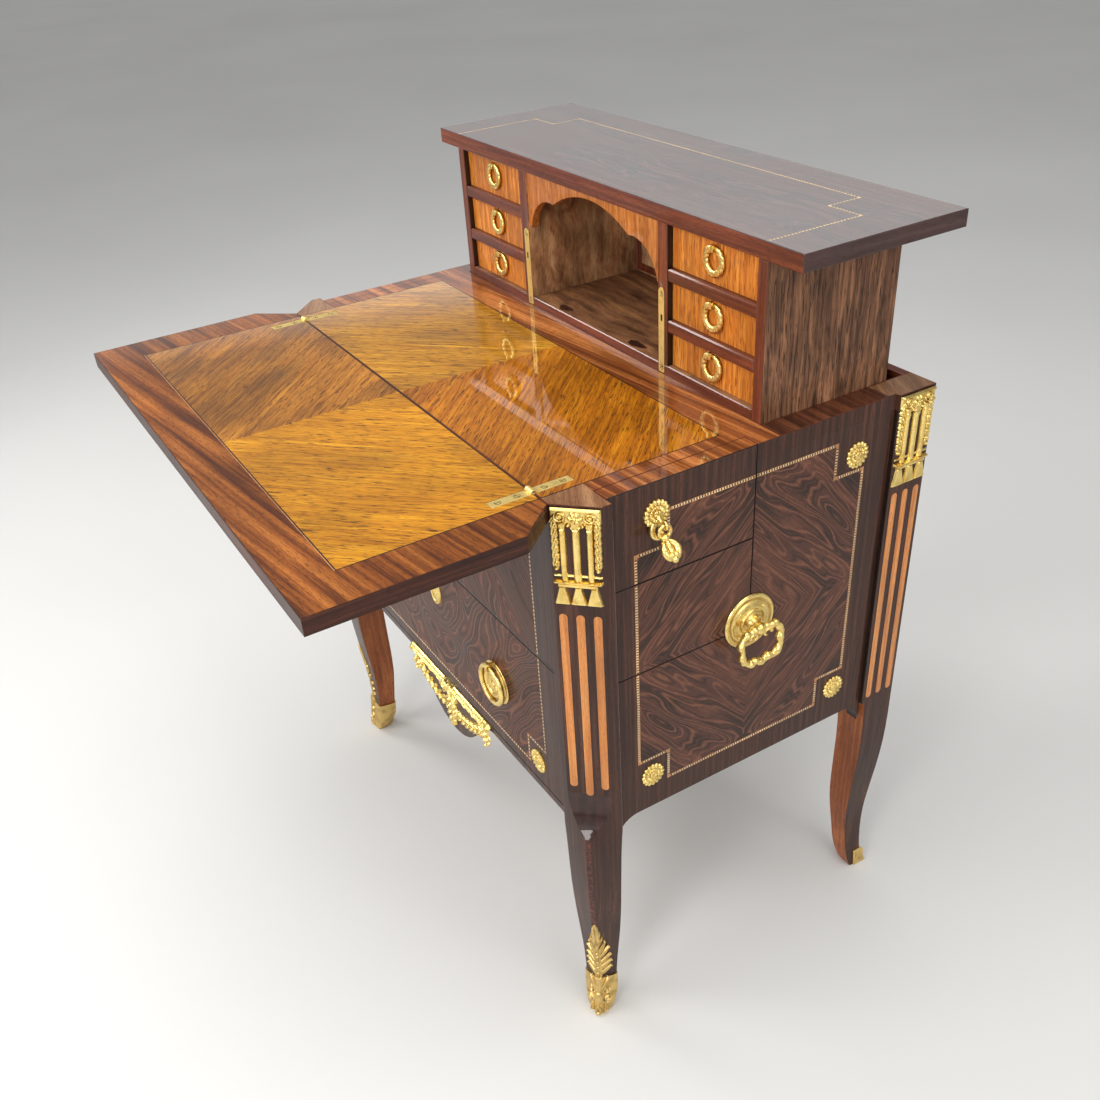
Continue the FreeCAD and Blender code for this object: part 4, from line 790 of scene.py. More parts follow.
class DESK_OT_stage(bpy.types.Operator):
    """Pale floor, soft lamps and the camera"""

    bl_idname = "desk.stage"
    bl_label = "Stage"

    def execute(self, context):
        scene = context.scene
        scene.view_settings.view_transform = "Standard"
        self.lay_floor(scene)
        self.light_room(scene)
        self.hang_lamps(scene)
        self.set_camera(scene)
        return {"FINISHED"}

    def lay_floor(self, scene):
        """A wide floor of plain matt paint, slightly uneven in tone."""
        material, tree, shader = new_material("plain_floor_paint")
        grit = add(tree, "ShaderNodeTexNoise", {"Scale": 40.0, "Detail": 3.0}).outputs["Fac"]
        tone = ramp(tree, grit, ((0.3, "#cfcecb"), (0.7, scene.desk_colours.floor)))
        plug(tree, shader, {"Base Color": tone, "Roughness": 0.7})
        mesh = bpy.data.meshes.new("floor")
        reach = 24.0
        mesh.from_pydata([(-reach, -reach, 0), (reach, -reach, 0), (reach, reach, 0), (-reach, reach, 0)], [],
                         [(0, 1, 2, 3)])
        mesh.materials.append(material)
        floor = bpy.data.objects.new("floor", mesh)
        scene.collection.objects.link(floor)

    def light_room(self, scene):
        """Grey walls, a bright band at the height of windows and a dim ceiling, for the polish to mirror."""
        world = bpy.data.worlds.new("studio")
        world.use_nodes = True
        tree = world.node_tree
        height = add(tree, "ShaderNodeSeparateXYZ", {0: add(tree, "ShaderNodeTexCoord").outputs["Generated"]})
        tone = ramp(tree, height.outputs["Z"], (
            (0.0, "#bcbcbc"), (1.0, "#dadada"), (0.19, "#c8c8c8"), (0.25, "#e2e2e2"), (0.30, "#ffffff"),
            (0.315, "#ffffff"), (0.345, "#757679"), (0.37, "#5c5d60"), (0.64, "#5c5d60")))
        plug(tree, tree.nodes["Background"], {"Color": tone, "Strength": 1.25})
        scene.world = world

    def hang_lamps(self, scene):
        """Square lamps with their place and aim in metres, size and power."""
        for name, place, aim, size, power in (
                ("key", (-0.5, -2.6, 2.5), (0, 0, 0.6), 2.0, 60),
                ("side", (3.0, 0.2, 2.2), (0, 0, 0.5), 2.0, 36),
                ("top", (0.3, 0.2, 3.4), (0, 0.1, 0.8), 2.4, 42),
                ("corner", (1.54, -2.2, 1.735), (0.2, 0, 0.4), 0.9, 30),
                ("left", (-1.83, -0.89, 2.06), (0.1, 0.1, 0.8), 0.7, 20)):
            lamp = bpy.data.lights.new(name, "AREA")
            lamp.size = size
            lamp.energy = power
            item = bpy.data.objects.new(name, lamp)
            item.location = place
            item.rotation_euler = (Vector(aim) - Vector(place)).to_track_quat("-Z", "Y").to_euler()
            scene.collection.objects.link(item)

    def set_camera(self, scene):
        """The photo's camera, as fitted to the desk's edges."""
        sensor, focal_pixels, picture_pixels = 36.0, 1131.81, 1100
        lens = bpy.data.cameras.new("camera")
        lens.sensor_width = sensor
        lens.lens = sensor * focal_pixels / picture_pixels
        lens.shift_x = -0.00153
        lens.shift_y = 0.06035
        camera = bpy.data.objects.new("camera", lens)
        right, up, back = (0.5222, 0.8508, -0.0591), (-0.4657, 0.3425, 0.8160), (0.7145, -0.3985, 0.5750)
        turn = Matrix((right, up, back)).transposed().to_4x4()
        camera.matrix_world = Matrix.Translation((1.121, -0.55575, 1.2578)) @ turn
        scene.collection.objects.link(camera)
        scene.camera = camera


class DESK_OT_finishes(bpy.types.Operator):
    """Make the materials of all woods and metals"""

    bl_idname = "desk.finishes"
    bl_label = "Finishes"

    def execute(self, context):
        make_finishes(context.scene.desk_colours)
        return {"FINISHED"}


class DESK_OT_carcass(bpy.types.Operator):
    """Boards, posts and legs with worn edges, and the hidden boards"""

    bl_idname = "desk.carcass"
    bl_label = "Carcass boards"

    def execute(self, context):
        softened("writing_leaf", ("edge_x", "rosewood_border", "edge_y"),
                 lambda p, n: 1 if n.z < -0.5 else (2 if abs(n.x) > 0.5 else 0))
        softened("writing_top", ("mahogany", "rosewood_border"),
                 lambda p, n: 1 if n.z < 0.8 and (abs(p.x) > WELL_X + 1 or p.y > TOP_HIGH.y - 3) else 0)
        # Faces other than the outer face are black: painted shade in the gaps round the drawers
        softened("side_panels", ("rosewood_border", "ebony_and_painted_shade"), lambda p, n: 0 if abs(n.x) > 0.97 else 1)
        for node in ("upper_front_panel", "front_apron"):
            softened(node, ("rosewood_border", "ebony_and_painted_shade"), lambda p, n: 0 if abs(n.y) > 0.97 else 1)
        softened("front_posts", ("rosewood_border", "leg_red", "edge_highlight", "ridge", "tongue"),
                 self.post_finish, ridge=self.outer_ridge)
        softened("rear_posts", ("rosewood_border", "leg_red", "ebony_and_painted_shade"), self.rear_post_finish)
        for node in ("back_panel", "bottom_board"):
            dress(node, "backboard")
        for node in ("dust_boards", "well_walls", "drawer_guides"):
            dress(node, "lining")
        return {"FINISHED"}

    def outer_ridge(self, edge):
        """Whether an edge lies on a front leg's outer corner below the tongue."""
        normals = [face.normal for face in edge.link_faces]
        side = math.copysign(1.0, edge.verts[0].co.x)
        low = all(vert.co.z < (LEG_TOP + 1) * MM for vert in edge.verts)
        return low and any(n.y < -0.7 for n in normals) and any(n.x * side > 0.7 for n in normals)

    def post_finish(self, p, n):
        """Finish of a front post's face: red inside the leg, cross-grained on its ridge, polished and
        darkened with painted shade in the hollow of the tongue, a painted highlight on the edge beside the
        side drawers."""
        out = math.copysign(n.x, n.x * p.x)
        if p.z < LEG_TOP:
            if out > 0.45 and n.y < -0.45:
                return 3
            return 1 if n.y > 0.4 or out < -0.4 else 0
        # The tongue's upward faces take the darkened rosewood: painted shade
        if p.z < TONGUE_TOP and out > 0.05 and n.y < -0.05 and n.z > 0.01:
            return 4
        # Painted highlight on the rear edge beside the side drawers
        return 2 if 0.25 < n.y < 0.97 and out > 0 else 0

    def rear_post_finish(self, p, n):
        """Finish of a rear post's face: red inside the leg, black as painted shade in the recess beside the
        panel.
        """
        if p.z > 318:
            return 2 if n.y < -0.4 else 0
        return 1 if n.y < -0.4 or abs(n.x) > 0.4 and n.x * p.x < 0 else 0


class DESK_OT_box(bpy.types.Operator):
    """The rising box"""

    bl_idname = "desk.box"
    bl_label = "Rising box"

    def execute(self, context):
        softened("box_top", ("mahogany", "rosewood_top", "box_end"),
                 lambda p, n: 1 if n.z > 0.5 else (2 if abs(n.x) > 0.5 else 0))
        inner = extent("box_sides")[1].x - 13
        # Inner faces of the sides, beside the drawers, are black: painted shade
        softened("box_sides", ("rosewood_rough", "mahogany_upright", "ebony_and_painted_shade"),
                 lambda p, n: 1 if n.y < -0.3 else (2 if abs(p.x) < inner else 0))
        softened("box_bottom", ("lining", "mahogany"), lambda p, n: 1 if n.y < -0.5 else 0,
                 width=0.0014, steps=1)
        softened("box_shelves", ("mahogany",), width=0.0015, steps=1)
        # Partition faces towards the drawers are black as painted shade; the pigeonhole walls take the lining
        # painted lighter to make up for the shade in there
        softened("box_partitions", ("pigeonhole", "mahogany_upright", "ebony_and_painted_shade"),
                 lambda p, n: 1 if n.y < -0.3 else (2 if abs(p.x) > 150 else 0))
        softened("arch_fascia", ("arch_veneer",), width=0.0006)
        # The back's face in the pigeonhole takes the lining painted lighter against its shade
        softened("box_back", ("pigeonhole", "backboard"), lambda p, n: 1 if n.y > 0.5 else 0)
        self.knots()
        self.back_frame()
        return {"FINISHED"}

    def knots(self):
        """Two dark knots in the pigeonhole's floor."""
        level = extent("box_bottom")[1].z
        shape = Shape()
        for number, (x, half) in enumerate(((-76.0, 13.0), (80.0, 16.0))):
            rim = []
            for angle in turn_steps(28):
                wobble = 1 + 0.13 * math.sin(3 * angle + number) + 0.07 * math.sin(7 * angle)
                rim.append((x + half * wobble * math.cos(angle),
                            BOX_FACE_Y + 11.0 + 6.2 * wobble * math.sin(angle)))
            shape.plate(rim, lambda u, v, w: Vector((u, v, level + w)), SEAT, 0.08)
        shape.inlay("floor_knots", "rising_box", ("tongue",), "rosewood")

    def back_frame(self):
        """A moulded frame planted on the pigeonhole's back."""
        inner = -extent("box_partitions")[0].x - 17.0
        low, high = extent("box_bottom")[1].z, BOX_TOP_LOW.z
        face = extent("box_back")[0].y
        profile = ((0, 0.0), (0.6, 3.0), (1.8, 4.0), (3.2, 3.2), (4.0, 1.8), (6.0, 1.6), (7.4, 2.6),
                   (8.8, 1.6), (9.4, 0.0))
        rows = []
        for off, rise in profile:
            u, z0, z1 = inner - 2.0 - off, low + 2.0 + off, high - 2.0 - off
            rows.append([Vector((x, face + 0.2 - rise, z))
                         for x, z in ((-u, z0), (u, z0), (u, z1), (-u, z1))])
        shape = Shape()
        shape.rows(rows)
        shape.piece("pigeonhole_back_frame", "rising_box", ("mahogany_upright",), "mahogany", edge=30)


class DESK_OT_drawers(bpy.types.Operator):
    """Drawers with veneered fronts and oak linings"""

    bl_idname = "desk.drawers"
    bl_label = "Drawers"

    def execute(self, context):
        for side, _ in SIDES:
            for row in ("upper", "middle", "lower"):
                softened("%s_%s_small_drawer" % (row, side),
                         ("tan_veneer", "drawer_lining", "gilt", "ebony_and_painted_shade", "drawer_side"),
                         self.small_finish, 0.0008)
            for row in ("upper", "lower"):
                softened("%s_side_drawer_%s" % (row, side),
                         ("rosewood_border", "drawer_lining", "mahogany_band", "ebony_and_painted_shade", "drawer_side"),
                         self.side_finish, worn=lambda p: abs(p.x) > SIDE_X - 1)
        softened("bottom_drawer", ("rosewood_border", "drawer_lining", "ebony_and_painted_shade", "drawer_side"),
                 self.bottom_finish, worn=lambda p: p.y < FRONT_Y + 1)
        return {"FINISHED"}

    def small_finish(self, p, n):
        """Finish of a small drawer's face: gilt eye, tan front with its edges black as painted shade in the
        gaps, lining inside.
        """
        depth = p.y - BOX_FACE_Y - 7
        if depth > 12.2:
            return 4 if abs(n.x) > 0.5 else 1
        if depth < -0.3:
            return 2
        return 0 if n.y < -0.97 else 3

    def bottom_finish(self, p, n):
        """Finish of the bottom drawer's face: lining inside, edges round the front black as painted shade in
        the gaps.
        """
        if p.y > FRONT_Y + 20.2:
            return 3 if abs(n.x) > 0.5 else 1
        return 0 if n.y < -0.97 else 2

    def side_finish(self, p, n):
        """Finish of a side drawer's face: lining inside, ribbon band on top, edges in front black as painted
        shade in the gaps.
        """
        if abs(p.x) < SIDE_X - 20.2:
            return 4 if abs(n.x) > 0.5 else 1
        if n.z > 0.97 and p.z > DRAWER_TOP:
            return 2
        return 0 if abs(n.x) > 0.97 else 3


class DESK_OT_writing_surface(bpy.types.Operator):
    """Quartered golden veneer, ribbon mahogany bands and dark lines on leaf and top"""

    bl_idname = "desk.writing_surface"
    bl_label = "Writing surface"

    def execute(self, context):
        clear = 0.35
        straps = extent("top_hinge_straps")
        strap_x, strap_half = straps[1].x - STRAP_HALF, STRAP_HALF + clear
        strap = strap_x - strap_half, strap_x + strap_half
        strap_front, strap_rear = extent("leaf_hinge_straps")[0].y - clear, straps[1].y + clear
        front, rear = FIELD_FRONT + LINE_ROOM, FIELD_REAR - LINE_ROOM
        leaf_edge, top_edge = LEAF_EDGE - JOINT_LINE, TOP_EDGE + JOINT_LINE
        for half, body in (("front", "leaf"), ("rear", "carcass")):
            for side, sign in SIDES:
                u0, u1 = sorted((0.0, sign * (FIELD_X - LINE_ROOM)))
                n0, n1 = sorted((sign * strap[0], sign * strap[1]))
                if half == "front":
                    outline = [(u0, front), (u1, front), (u1, leaf_edge), (n1, leaf_edge), (n1, strap_front),
                               (n0, strap_front), (n0, leaf_edge), (u0, leaf_edge)]
                else:
                    outline = [(u0, top_edge), (n0, top_edge), (n0, strap_rear), (n1, strap_rear),
                               (n1, top_edge), (u1, top_edge), (u1, rear), (u0, rear)]
                shape = Shape()
                shape.plate(outline, on_top, SEAT, VENEER)
                name = "%s_%s" % (half, side)
                shape.inlay("golden_quarter_" + name, body, ("golden_" + name,), "golden_veneer")
        self.bands()
        self.lines(strap)
        return {"FINISHED"}

    def bands(self):
        """Mahogany bands, mitred at the leaf's front corners."""
        half, front, corner = LEAF_HIGH.x - INSET, LEAF_LOW.y + INSET, POST_X - CANT - INSET
        post, side, rear_post = POST_X - INSET, SIDE_X - INSET, REAR_POST_X - INSET
        post_end, rear = POST_REAR - INSET, TOP_HIGH.y - INSET
        well, notch, joint = BOX_FACE_Y - 1.5, UPPER_HIGH.y + 1.2, TOP_HIGH.y - 62.0
        strip = SIDE_X - 20.5 - 0.9
        leaf, top, corners, cross = Shape(), Shape(), Shape(), Shape()
        leaf.plate([(-half, front), (half, front), (FIELD_X, FIELD_FRONT), (-FIELD_X, FIELD_FRONT)], on_top,
                   SEAT, VENEER)
        top.plate([(-FIELD_X, FIELD_REAR), (FIELD_X, FIELD_REAR), (FIELD_X, well), (-FIELD_X, well)], on_top,
                  SEAT, VENEER)
        parts = (
            (leaf, [(FIELD_X, FIELD_FRONT), (half, front), (half, LEAF_EDGE - 44.0), (corner, LEAF_EDGE),
                    (FIELD_X, LEAF_EDGE)]),
            (corners, [(FIELD_X, TOP_EDGE), (corner, TOP_EDGE), (post, TOP_EDGE + CANT - INSET),
                       (post, post_end), (strip, post_end), (FIELD_X, post_end)]),
            (top, [(FIELD_X, post_end), (strip, post_end), (strip, notch), (FIELD_X, notch)]),
            (top, [(FIELD_X, notch), (side, notch), (side, well), (FIELD_X, well)]),
            (cross, [(WELL_X, well), (side, well), (side, joint), (WELL_X, joint)]),
            (corners, [(WELL_X, joint), (side, joint), (side, TOP_HIGH.y - 53.0),
                       (rear_post, TOP_HIGH.y - 51.0), (rear_post, rear), (WELL_X, rear)]))
        for sign in (1, -1):
            for shape, part in parts:
                shape.plate([(sign * u, v) for u, v in part][::sign], on_top, SEAT, VENEER)
        leaf.inlay("mahogany_bands_leaf", "leaf", ("mahogany_leaf",), "mahogany")
        top.inlay("mahogany_bands_top", "carcass", ("mahogany_band",), "mahogany")
        corners.inlay("corner_pieces_top", "carcass", ("corner",), "mahogany")
        cross.inlay("crossbands_beside_box", "carcass", ("mahogany_cross",), "mahogany")

    def lines(self, strap):
        """Thin dark lines between field and band and beside the leaf's joint, with a pale one outside on
        the leaf's front."""
        half, pale = 0.7, 0.9
        leaf, top = Shape(), Shape()

        def line(shape, u, v):
            shape.plate([(u[0], v[0]), (u[1], v[0]), (u[1], v[1]), (u[0], v[1])], on_top, SEAT, VENEER + 0.02)
        for u in ((-FIELD_X, -strap[1]), (-strap[0], strap[0]), (strap[1], FIELD_X)):
            line(leaf, u, (LEAF_EDGE - JOINT_LINE, LEAF_EDGE))
            line(top, u, (TOP_EDGE, TOP_EDGE + JOINT_LINE))
        line(leaf, (-FIELD_X, FIELD_X), (FIELD_FRONT - half, FIELD_FRONT + half))
        line(top, (-FIELD_X, FIELD_X), (FIELD_REAR - half, FIELD_REAR + half))
        for sign in (1, -1):
            u = sorted((sign * (FIELD_X - half), sign * (FIELD_X + half)))
            line(leaf, u, (FIELD_FRONT, LEAF_EDGE))
            line(top, u, (TOP_EDGE, FIELD_REAR))
        leaf.finish = 1
        line(leaf, (-FIELD_X - half, FIELD_X + half), (FIELD_FRONT - half - pale, FIELD_FRONT - half))
        leaf.inlay("dark_lines_leaf", "leaf", ("ebony_and_painted_shade", "tulipwood"), "rosewood")
        top.inlay("dark_lines_top", "carcass", ("ebony_and_painted_shade",), "rosewood")


class DESK_OT_box_top_inlay(bpy.types.Operator):
    """Dotted stringing let into the box top"""

    bl_idname = "desk.box_top_inlay"
    bl_label = "Box top stringing"

    def execute(self, context):
        sizes = context.scene.desk_sizes
        shape = Shape()
        half, inner, front, step, rear = 310.0, 264.0, BOX_TOP_LOW.y, 273.6, 315.6
        outline = [(-half, front - 20), (half, front - 20), (half, step), (inner, step), (inner, rear),
                   (-inner, rear), (-inner, step), (-half, step)]
        region = ((BOX_TOP_LOW.x, front + 1.2), (BOX_TOP_HIGH.x, BOX_TOP_HIGH.y))
        ladder(shape, outline, lambda u, v, w: Vector((u, v, BOX_TOP_HIGH.z + w)), region,
               1.9, sizes.ladder_pitch * 1300, SEAT, 0.08)
        shape.inlay("box_top_stringing", "rising_box", ("boxwood", "boxwood", "ebony_and_painted_shade"), "golden_veneer")
        return {"FINISHED"}


class DESK_OT_side_fields(bpy.types.Operator):
    """Quartered rosewood and ladder stringing on both sides and their drawers"""

    bl_idname = "desk.side_fields"
    bl_label = "Side fields"

    def execute(self, context):
        sizes = context.scene.desk_sizes
        string = sizes.ladder_width * 1000, sizes.ladder_pitch * 1000
        outline = notched((-25.85, 352.0), (273.15, STRING_TOP), STRING_NOTCH)
        front, rear = POST_Y + 49.5, TOP_HIGH.y - 53.5
        drawer_rear, panel_front, seam = UPPER_HIGH.y - 0.9, UPPER_HIGH.y + 1.4, 1.4
        regions = (
            ("upper_side_drawer", (front, UPPER_LOW.z + 0.9), (drawer_rear, DRAWER_TOP)),
            ("lower_side_drawer", (front, LOWER_LOW.z + 1.0), (drawer_rear, UPPER_LOW.z - seam)),
            ("carcass_lower", (front, PANEL_LOW), (panel_front, LOWER_LOW.z - seam)),
            ("carcass_rear", (panel_front, PANEL_LOW), (rear, PANEL_TOP)))
        for side, sign in SIDES:
            for name, *region in regions:
                tag = name + "_" + side
                body = "carcass" if name.startswith("carcass") else tag
                inlaid(tag, body, "rosewood_side", outline, region, on_side(sign), string, flip=sign > 0)
        return {"FINISHED"}


class DESK_OT_front_fields(bpy.types.Operator):
    """Quartered rosewood and ladder stringing on the front panel and the bottom drawer"""

    bl_idname = "desk.front_fields"
    bl_label = "Front fields"

    def execute(self, context):
        string = 2.8, context.scene.desk_sizes.ladder_pitch * 1500
        outline = notched((-259.0, 340.0), (259.0, STRING_TOP), STRING_NOTCH)
        low, seam, half = extent("bottom_drawer")[0].z, extent("upper_front_panel")[0].z, 308.0
        for tag, body, region in (("bottom_drawer", "bottom_drawer", ((-half, low + 1), (half, seam - 1.6))),
                                  ("front_panel", "carcass", ((-half, seam + 1), (half, PANEL_TOP)))):
            inlaid(tag, body, "rosewood_front", outline, region, on_front, string)
        # A black strip along the front panel's lower edge: painted shadow of the gap over the bottom drawer
        line = Shape()
        line.plate([(-307, seam + 0.4), (307, seam + 0.4), (307, seam + 2.6), (-307, seam + 2.6)], on_front,
                   SEAT, VENEER + 0.06)
        line.inlay("painted_gap_shadow_front_panel", "carcass", ("ebony_and_painted_shade",), "rosewood")
        return {"FINISHED"}


class DESK_OT_flutes(bpy.types.Operator):
    """Round-ended flutes inlaid in the posts"""

    bl_idname = "desk.flutes"
    bl_label = "Flutes"

    def execute(self, context):
        sizes = context.scene.desk_sizes
        width, pitch = sizes.flute_width * 1000, sizes.flute_pitch * 1000
        front_low, front_high, longer = 384.0, 617.0, 11.5
        rear_low, rear_high, rear_pitch = 326.0, 620.0, 16.6
        for side, sign in SIDES:
            shape = Shape()
            for number in (-1, 0, 1):
                low = front_low - (longer if number == 0 else 0.0)
                self.flute(shape, number * pitch, low, front_high, width, on_cant(sign))
                self.flute(shape, number * rear_pitch, rear_low, rear_high, width, on_rear_post(sign))
            shape.inlay("flutes_" + side, "carcass", ("flute", "ebony_and_painted_shade"), "golden_veneer")
        return {"FINISHED"}

    def flute(self, shape, middle, low, high, width, place):
        """A dark outline and the tan flute on it."""
        for finish, half, top in ((1, width / 2 + 0.7, 0.1), (0, width / 2, 0.2)):
            arc = [math.pi * k / 10 for k in range(11)]
            outline = [(middle + half * math.cos(t), high - width / 2 + half * math.sin(t)) for t in arc]
            outline += [(middle - half * math.cos(t), low + width / 2 - half * math.sin(t)) for t in arc]
            shape.finish = finish
            shape.plate(outline, place, SEAT, top)


class DESK_OT_ironwork(bpy.types.Operator):
    """Hinges with their screws, strike plates, lift gear and catch"""

    bl_idname = "desk.ironwork"
    bl_label = "Ironwork"

    def execute(self, context):
        for node in ("top_hinge_straps", "leaf_hinge_straps"):
            softened(node, ("brass",), width=0.0004)
        for node in ("lift_guides", "lift_brackets", "catch_bar", "catch_keepers"):
            dress(node, "steel")
        self.strikes()
        self.screws()
        self.springs()
        return {"FINISHED"}

    def strikes(self):
        """Round-ended strike plates, their bolt slots painted black as shade."""
        low, high = extent("strike_plates")
        half = 5.8

        def face(u, v, w):
            return Vector((u, low.y - w, v))
        shape = Shape()
        for sign in (1, -1):
            middle = sign * (high.x - STRIKE_INSET)
            arc = [math.pi * k / 12 for k in range(13)]
            outline = [(middle + half * math.cos(t), high.z - half + half * math.sin(t)) for t in arc]
            outline += [(middle - half, low.z), (middle + half, low.z)]
            inside = [(middle + (u - middle) * 0.86, min(v, high.z - 0.7)) for u, v in outline]
            shape.finish = 0
            shape.plate(outline, face, -1.9, 0.0)
            shape.plate(inside, face, 0.0, 0.25)
            # The bolt slot is a black plate on the face: painted shade
            shape.finish = 1
            left, right = middle - 1.6, middle + 1.6
            shape.plate([(left, 800.5), (right, 800.5), (right, 808), (left, 808)], face, 0.0, 0.3)
        shape.piece("strike_plates_round", "rising_box", ("brass", "ebony_and_painted_shade"), "hinge_brass", smooth=False,
                    replaces=("strike_plates",))

    def screws(self):
        """Slotted screws in the hinge straps and strike plates, each turned its own way."""
        for body, node, reaches in (("leaf", "leaf_hinge_straps", (-15, -36)),
                                    ("carcass", "top_hinge_straps", (15, 36))):
            shape = Shape()
            strap_x = extent(node)[1].x - STRAP_HALF
            top = max((v.co.z for v in NODES[node].data.vertices
                       if abs(v.co.y * 1000 - HINGE_Y - reaches[1]) < 14), default=0.74) * 1000
            for number, (sign, reach) in enumerate((sign, reach) for sign in (1, -1) for reach in reaches):
                centre = Vector((sign * strap_x, HINGE_Y + reach, top))
                shape.screw(lambda u, v, w: centre + Vector((u, v, w)), 2.9, 0.6 + 1.1 * number)
            shape.inlay("hinge_screws_" + body, body, ("brass", "screw_seat_shade"), "hinge_brass")
        low, high = extent("strike_plates")
        shape = Shape()
        middle = high.x - STRIKE_INSET
        for number, (sign, z) in enumerate((sign, z) for sign in (1, -1) for z in (low.z + 6, high.z - 7)):
            centre = Vector((sign * middle, low.y, z))
            shape.screw(lambda u, v, w: centre + Vector((u, -0.25 - w, v)), 2.4, 0.4 + 0.9 * number)
        shape.inlay("strike_screws", "rising_box", ("brass", "screw_seat_shade"), "hinge_brass")

    def springs(self):
        """Coil springs at the length of the CAD springs; in the desk they shorten as the box sinks."""
        low, high = extent("lift_springs")
        radius, wire, turns = (high.y - low.y) / 2 - 1.0, 0.95, 38
        middle_y = (low.y + high.y) / 2
        for side, sign in SIDES:
            middle_x = sign * (high.x - (high.y - low.y) / 2)
            shape = Shape()
            count = turns * 14
            path = []
            for k in range(count + 1):
                share = k / count
                rise = low.z + wire + (high.z - low.z - 2 * wire) * share
                angle = 2 * math.pi * turns * share
                path.append((middle_x + radius * math.cos(angle), middle_y + radius * math.sin(angle), rise))
            shape.tube(path, wire, 6)
            spring = shape.piece("coil_spring_" + side, "carcass", ("steel",), "steel",
                                 replaces=("lift_springs",))
            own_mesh(spring)


def capital(u, v):
    """Height of a post mount: leafy frieze over three bars, side foliage, crossbar and three drops."""
    skins = [block(u, v, (-24.5, 24.5), (92, 108), 2.0), block(u, v, (-24.5, 24.5), (104.6, 108), 4.6, 1.2),
             block(u, v, (-24, 24), (31.4, 34), 1.4), block(u, v, (-24.5, 24.5), (25, 28.4), 5.0, 1.0),
             block(u, v, (-20.5, 20.5), (20.4, 25.4), 3.8, 1.0)]
    rows = [(dome, [(0, 96)], 11.5, 2.6), (flower, [(0, 97.5)], 7.5, 6, 4.8),
            (volute, [(14.5, 99.5)], 5.6, 1.6, 1.3, 4.4), (dome, [(14.5, 99.5)], 2.2, 4.6),
            (leaf, [(17, 102), (24.6, 92)], 6.5, 4.2, 3), (leaf, [(8, 104), (19, 94)], 5.5, 4.0, 3),
            (dome, [(20.4, 41)], 2.6, 4.0), (dome, [(0, 8)], 1.7, 4.4)]
    for k in range(9):
        angle = math.pi * (1.05 + 0.9 * k / 8)
        skins.append(dome(u, v, (11 * math.cos(angle), 97.5 + 10.5 * math.sin(angle)), 1.8, 4.4))
    for k in range(6):
        z = 90 - 8.4 * k
        rows += [(leaf, [(20.4, z + 5), (22.9, z - 5)], 6.0, 3.6, 2),
                 (leaf, [(20.6, z + 2), (18.2, z - 6)], 5.0, 3.4, 2), (dome, [(20.4, z)], 1.7, 4.2)]
    for middle, half in ((-13.2, 3.1), (0, 3.9), (13.2, 3.1)):
        round_bar = 3.4 * np.sqrt(np.clip(1 - ((u - middle) / half) ** 2, 0, 1))
        skins += [np.where((np.abs(u - middle) < half) & (v > 28) & (v < 92), round_bar + 0.2, -1.0),
                  wedge(u, v, middle, 77, 87, 0.3, half + 0.5, 4.4), dome(u, v, (middle, 89.4), 1.4, 4.4),
                  block(u, v, (middle - half - 0.6, middle + half + 0.6), (87, 92), 3.4)]
    skins += [wedge(u, v, middle, 0, 21, 8.2, 3.2, 3.4) for middle in (-16, 0, 16)]
    return carved(u, v, rows, *skins)


class DESK_OT_post_mounts(bpy.types.Operator):
    """Gilt capitals on the four posts"""

    bl_idname = "desk.post_mounts"
    bl_label = "Post mounts"

    def execute(self, context):
        low, high = extent("post_mounts")
        for side, sign in SIDES:
            for post, base in (("front", on_cant(sign)), ("rear", on_rear_post(sign))):
                shape = Shape()
                shape.relief(capital, (-25, 25), (0, high.z - low.z), 0.62, set_at(base, (0, low.z + 3)))
                shape.gilt("capital_%s_%s" % (post, side), "carcass", "post_mounts", edge=55)
        return {"FINISHED"}


class DESK_OT_rosettes(bpy.types.Operator):
    """Daisy rosettes on the panels"""

    bl_idname = "desk.rosettes"
    bl_label = "Rosettes"

    def execute(self, context):
        front, rear, low = -8.25, 262.75, 367.0
        places = [(side, on_side(sign), centre) for side, sign in SIDES
                  for centre in ((front, low), (rear, low), (rear, ROSETTE_TOP))]
        places += [(side, on_front, (ROSETTE_X * sign, ROSETTE_TOP)) for side, sign in SIDES]
        for number, (side, base, centre) in enumerate(places):
            shape = Shape()
            shape.daisy(set_at(base, centre), *ROSETTE)
            shape.gilt("rosette_%s_%d" % (side, number), "carcass", "panel_rosettes")
        return {"FINISHED"}


class DESK_OT_small_rings(bpy.types.Operator):
    """Laurel rings of the small drawers"""

    bl_idname = "desk.small_rings"
    bl_label = "Small ring pulls"

    def execute(self, context):
        for side, _ in SIDES:
            for row in ("upper", "middle", "lower"):
                self.ring("%s_%s_ring" % (row, side))
        return {"FINISHED"}

    def ring(self, node):
        """A ring of laurel leaves, slim at the top where it passes through its eye."""
        low, high = extent(node)
        middle = (low + high) / 2
        wire = (high.y - low.y) / 2
        drop = 1.8
        radius, hang = (high.x - low.x) / 2 - wire - drop, middle.z + drop
        path = [(middle.x + radius * math.sin(t), middle.y, hang + radius * math.cos(t))
                for t in turn_steps(168)]

        def laurel(share, angle):
            leafage = abs(math.sin(math.pi * 13 * share + 0.9 * math.cos(angle)))
            slim = min(1.0, 0.46 + 8 * max(0.0, min(share, 1 - share) - 0.025))
            return wire * slim * (0.90 + 0.18 * leafage ** 0.7)
        shape = Shape()
        shape.tube(path, laurel, 12, closed=True, flat=1.8, normal=Vector((0, -1, 0)))
        shape.gilt("laurel_" + node, node, node)


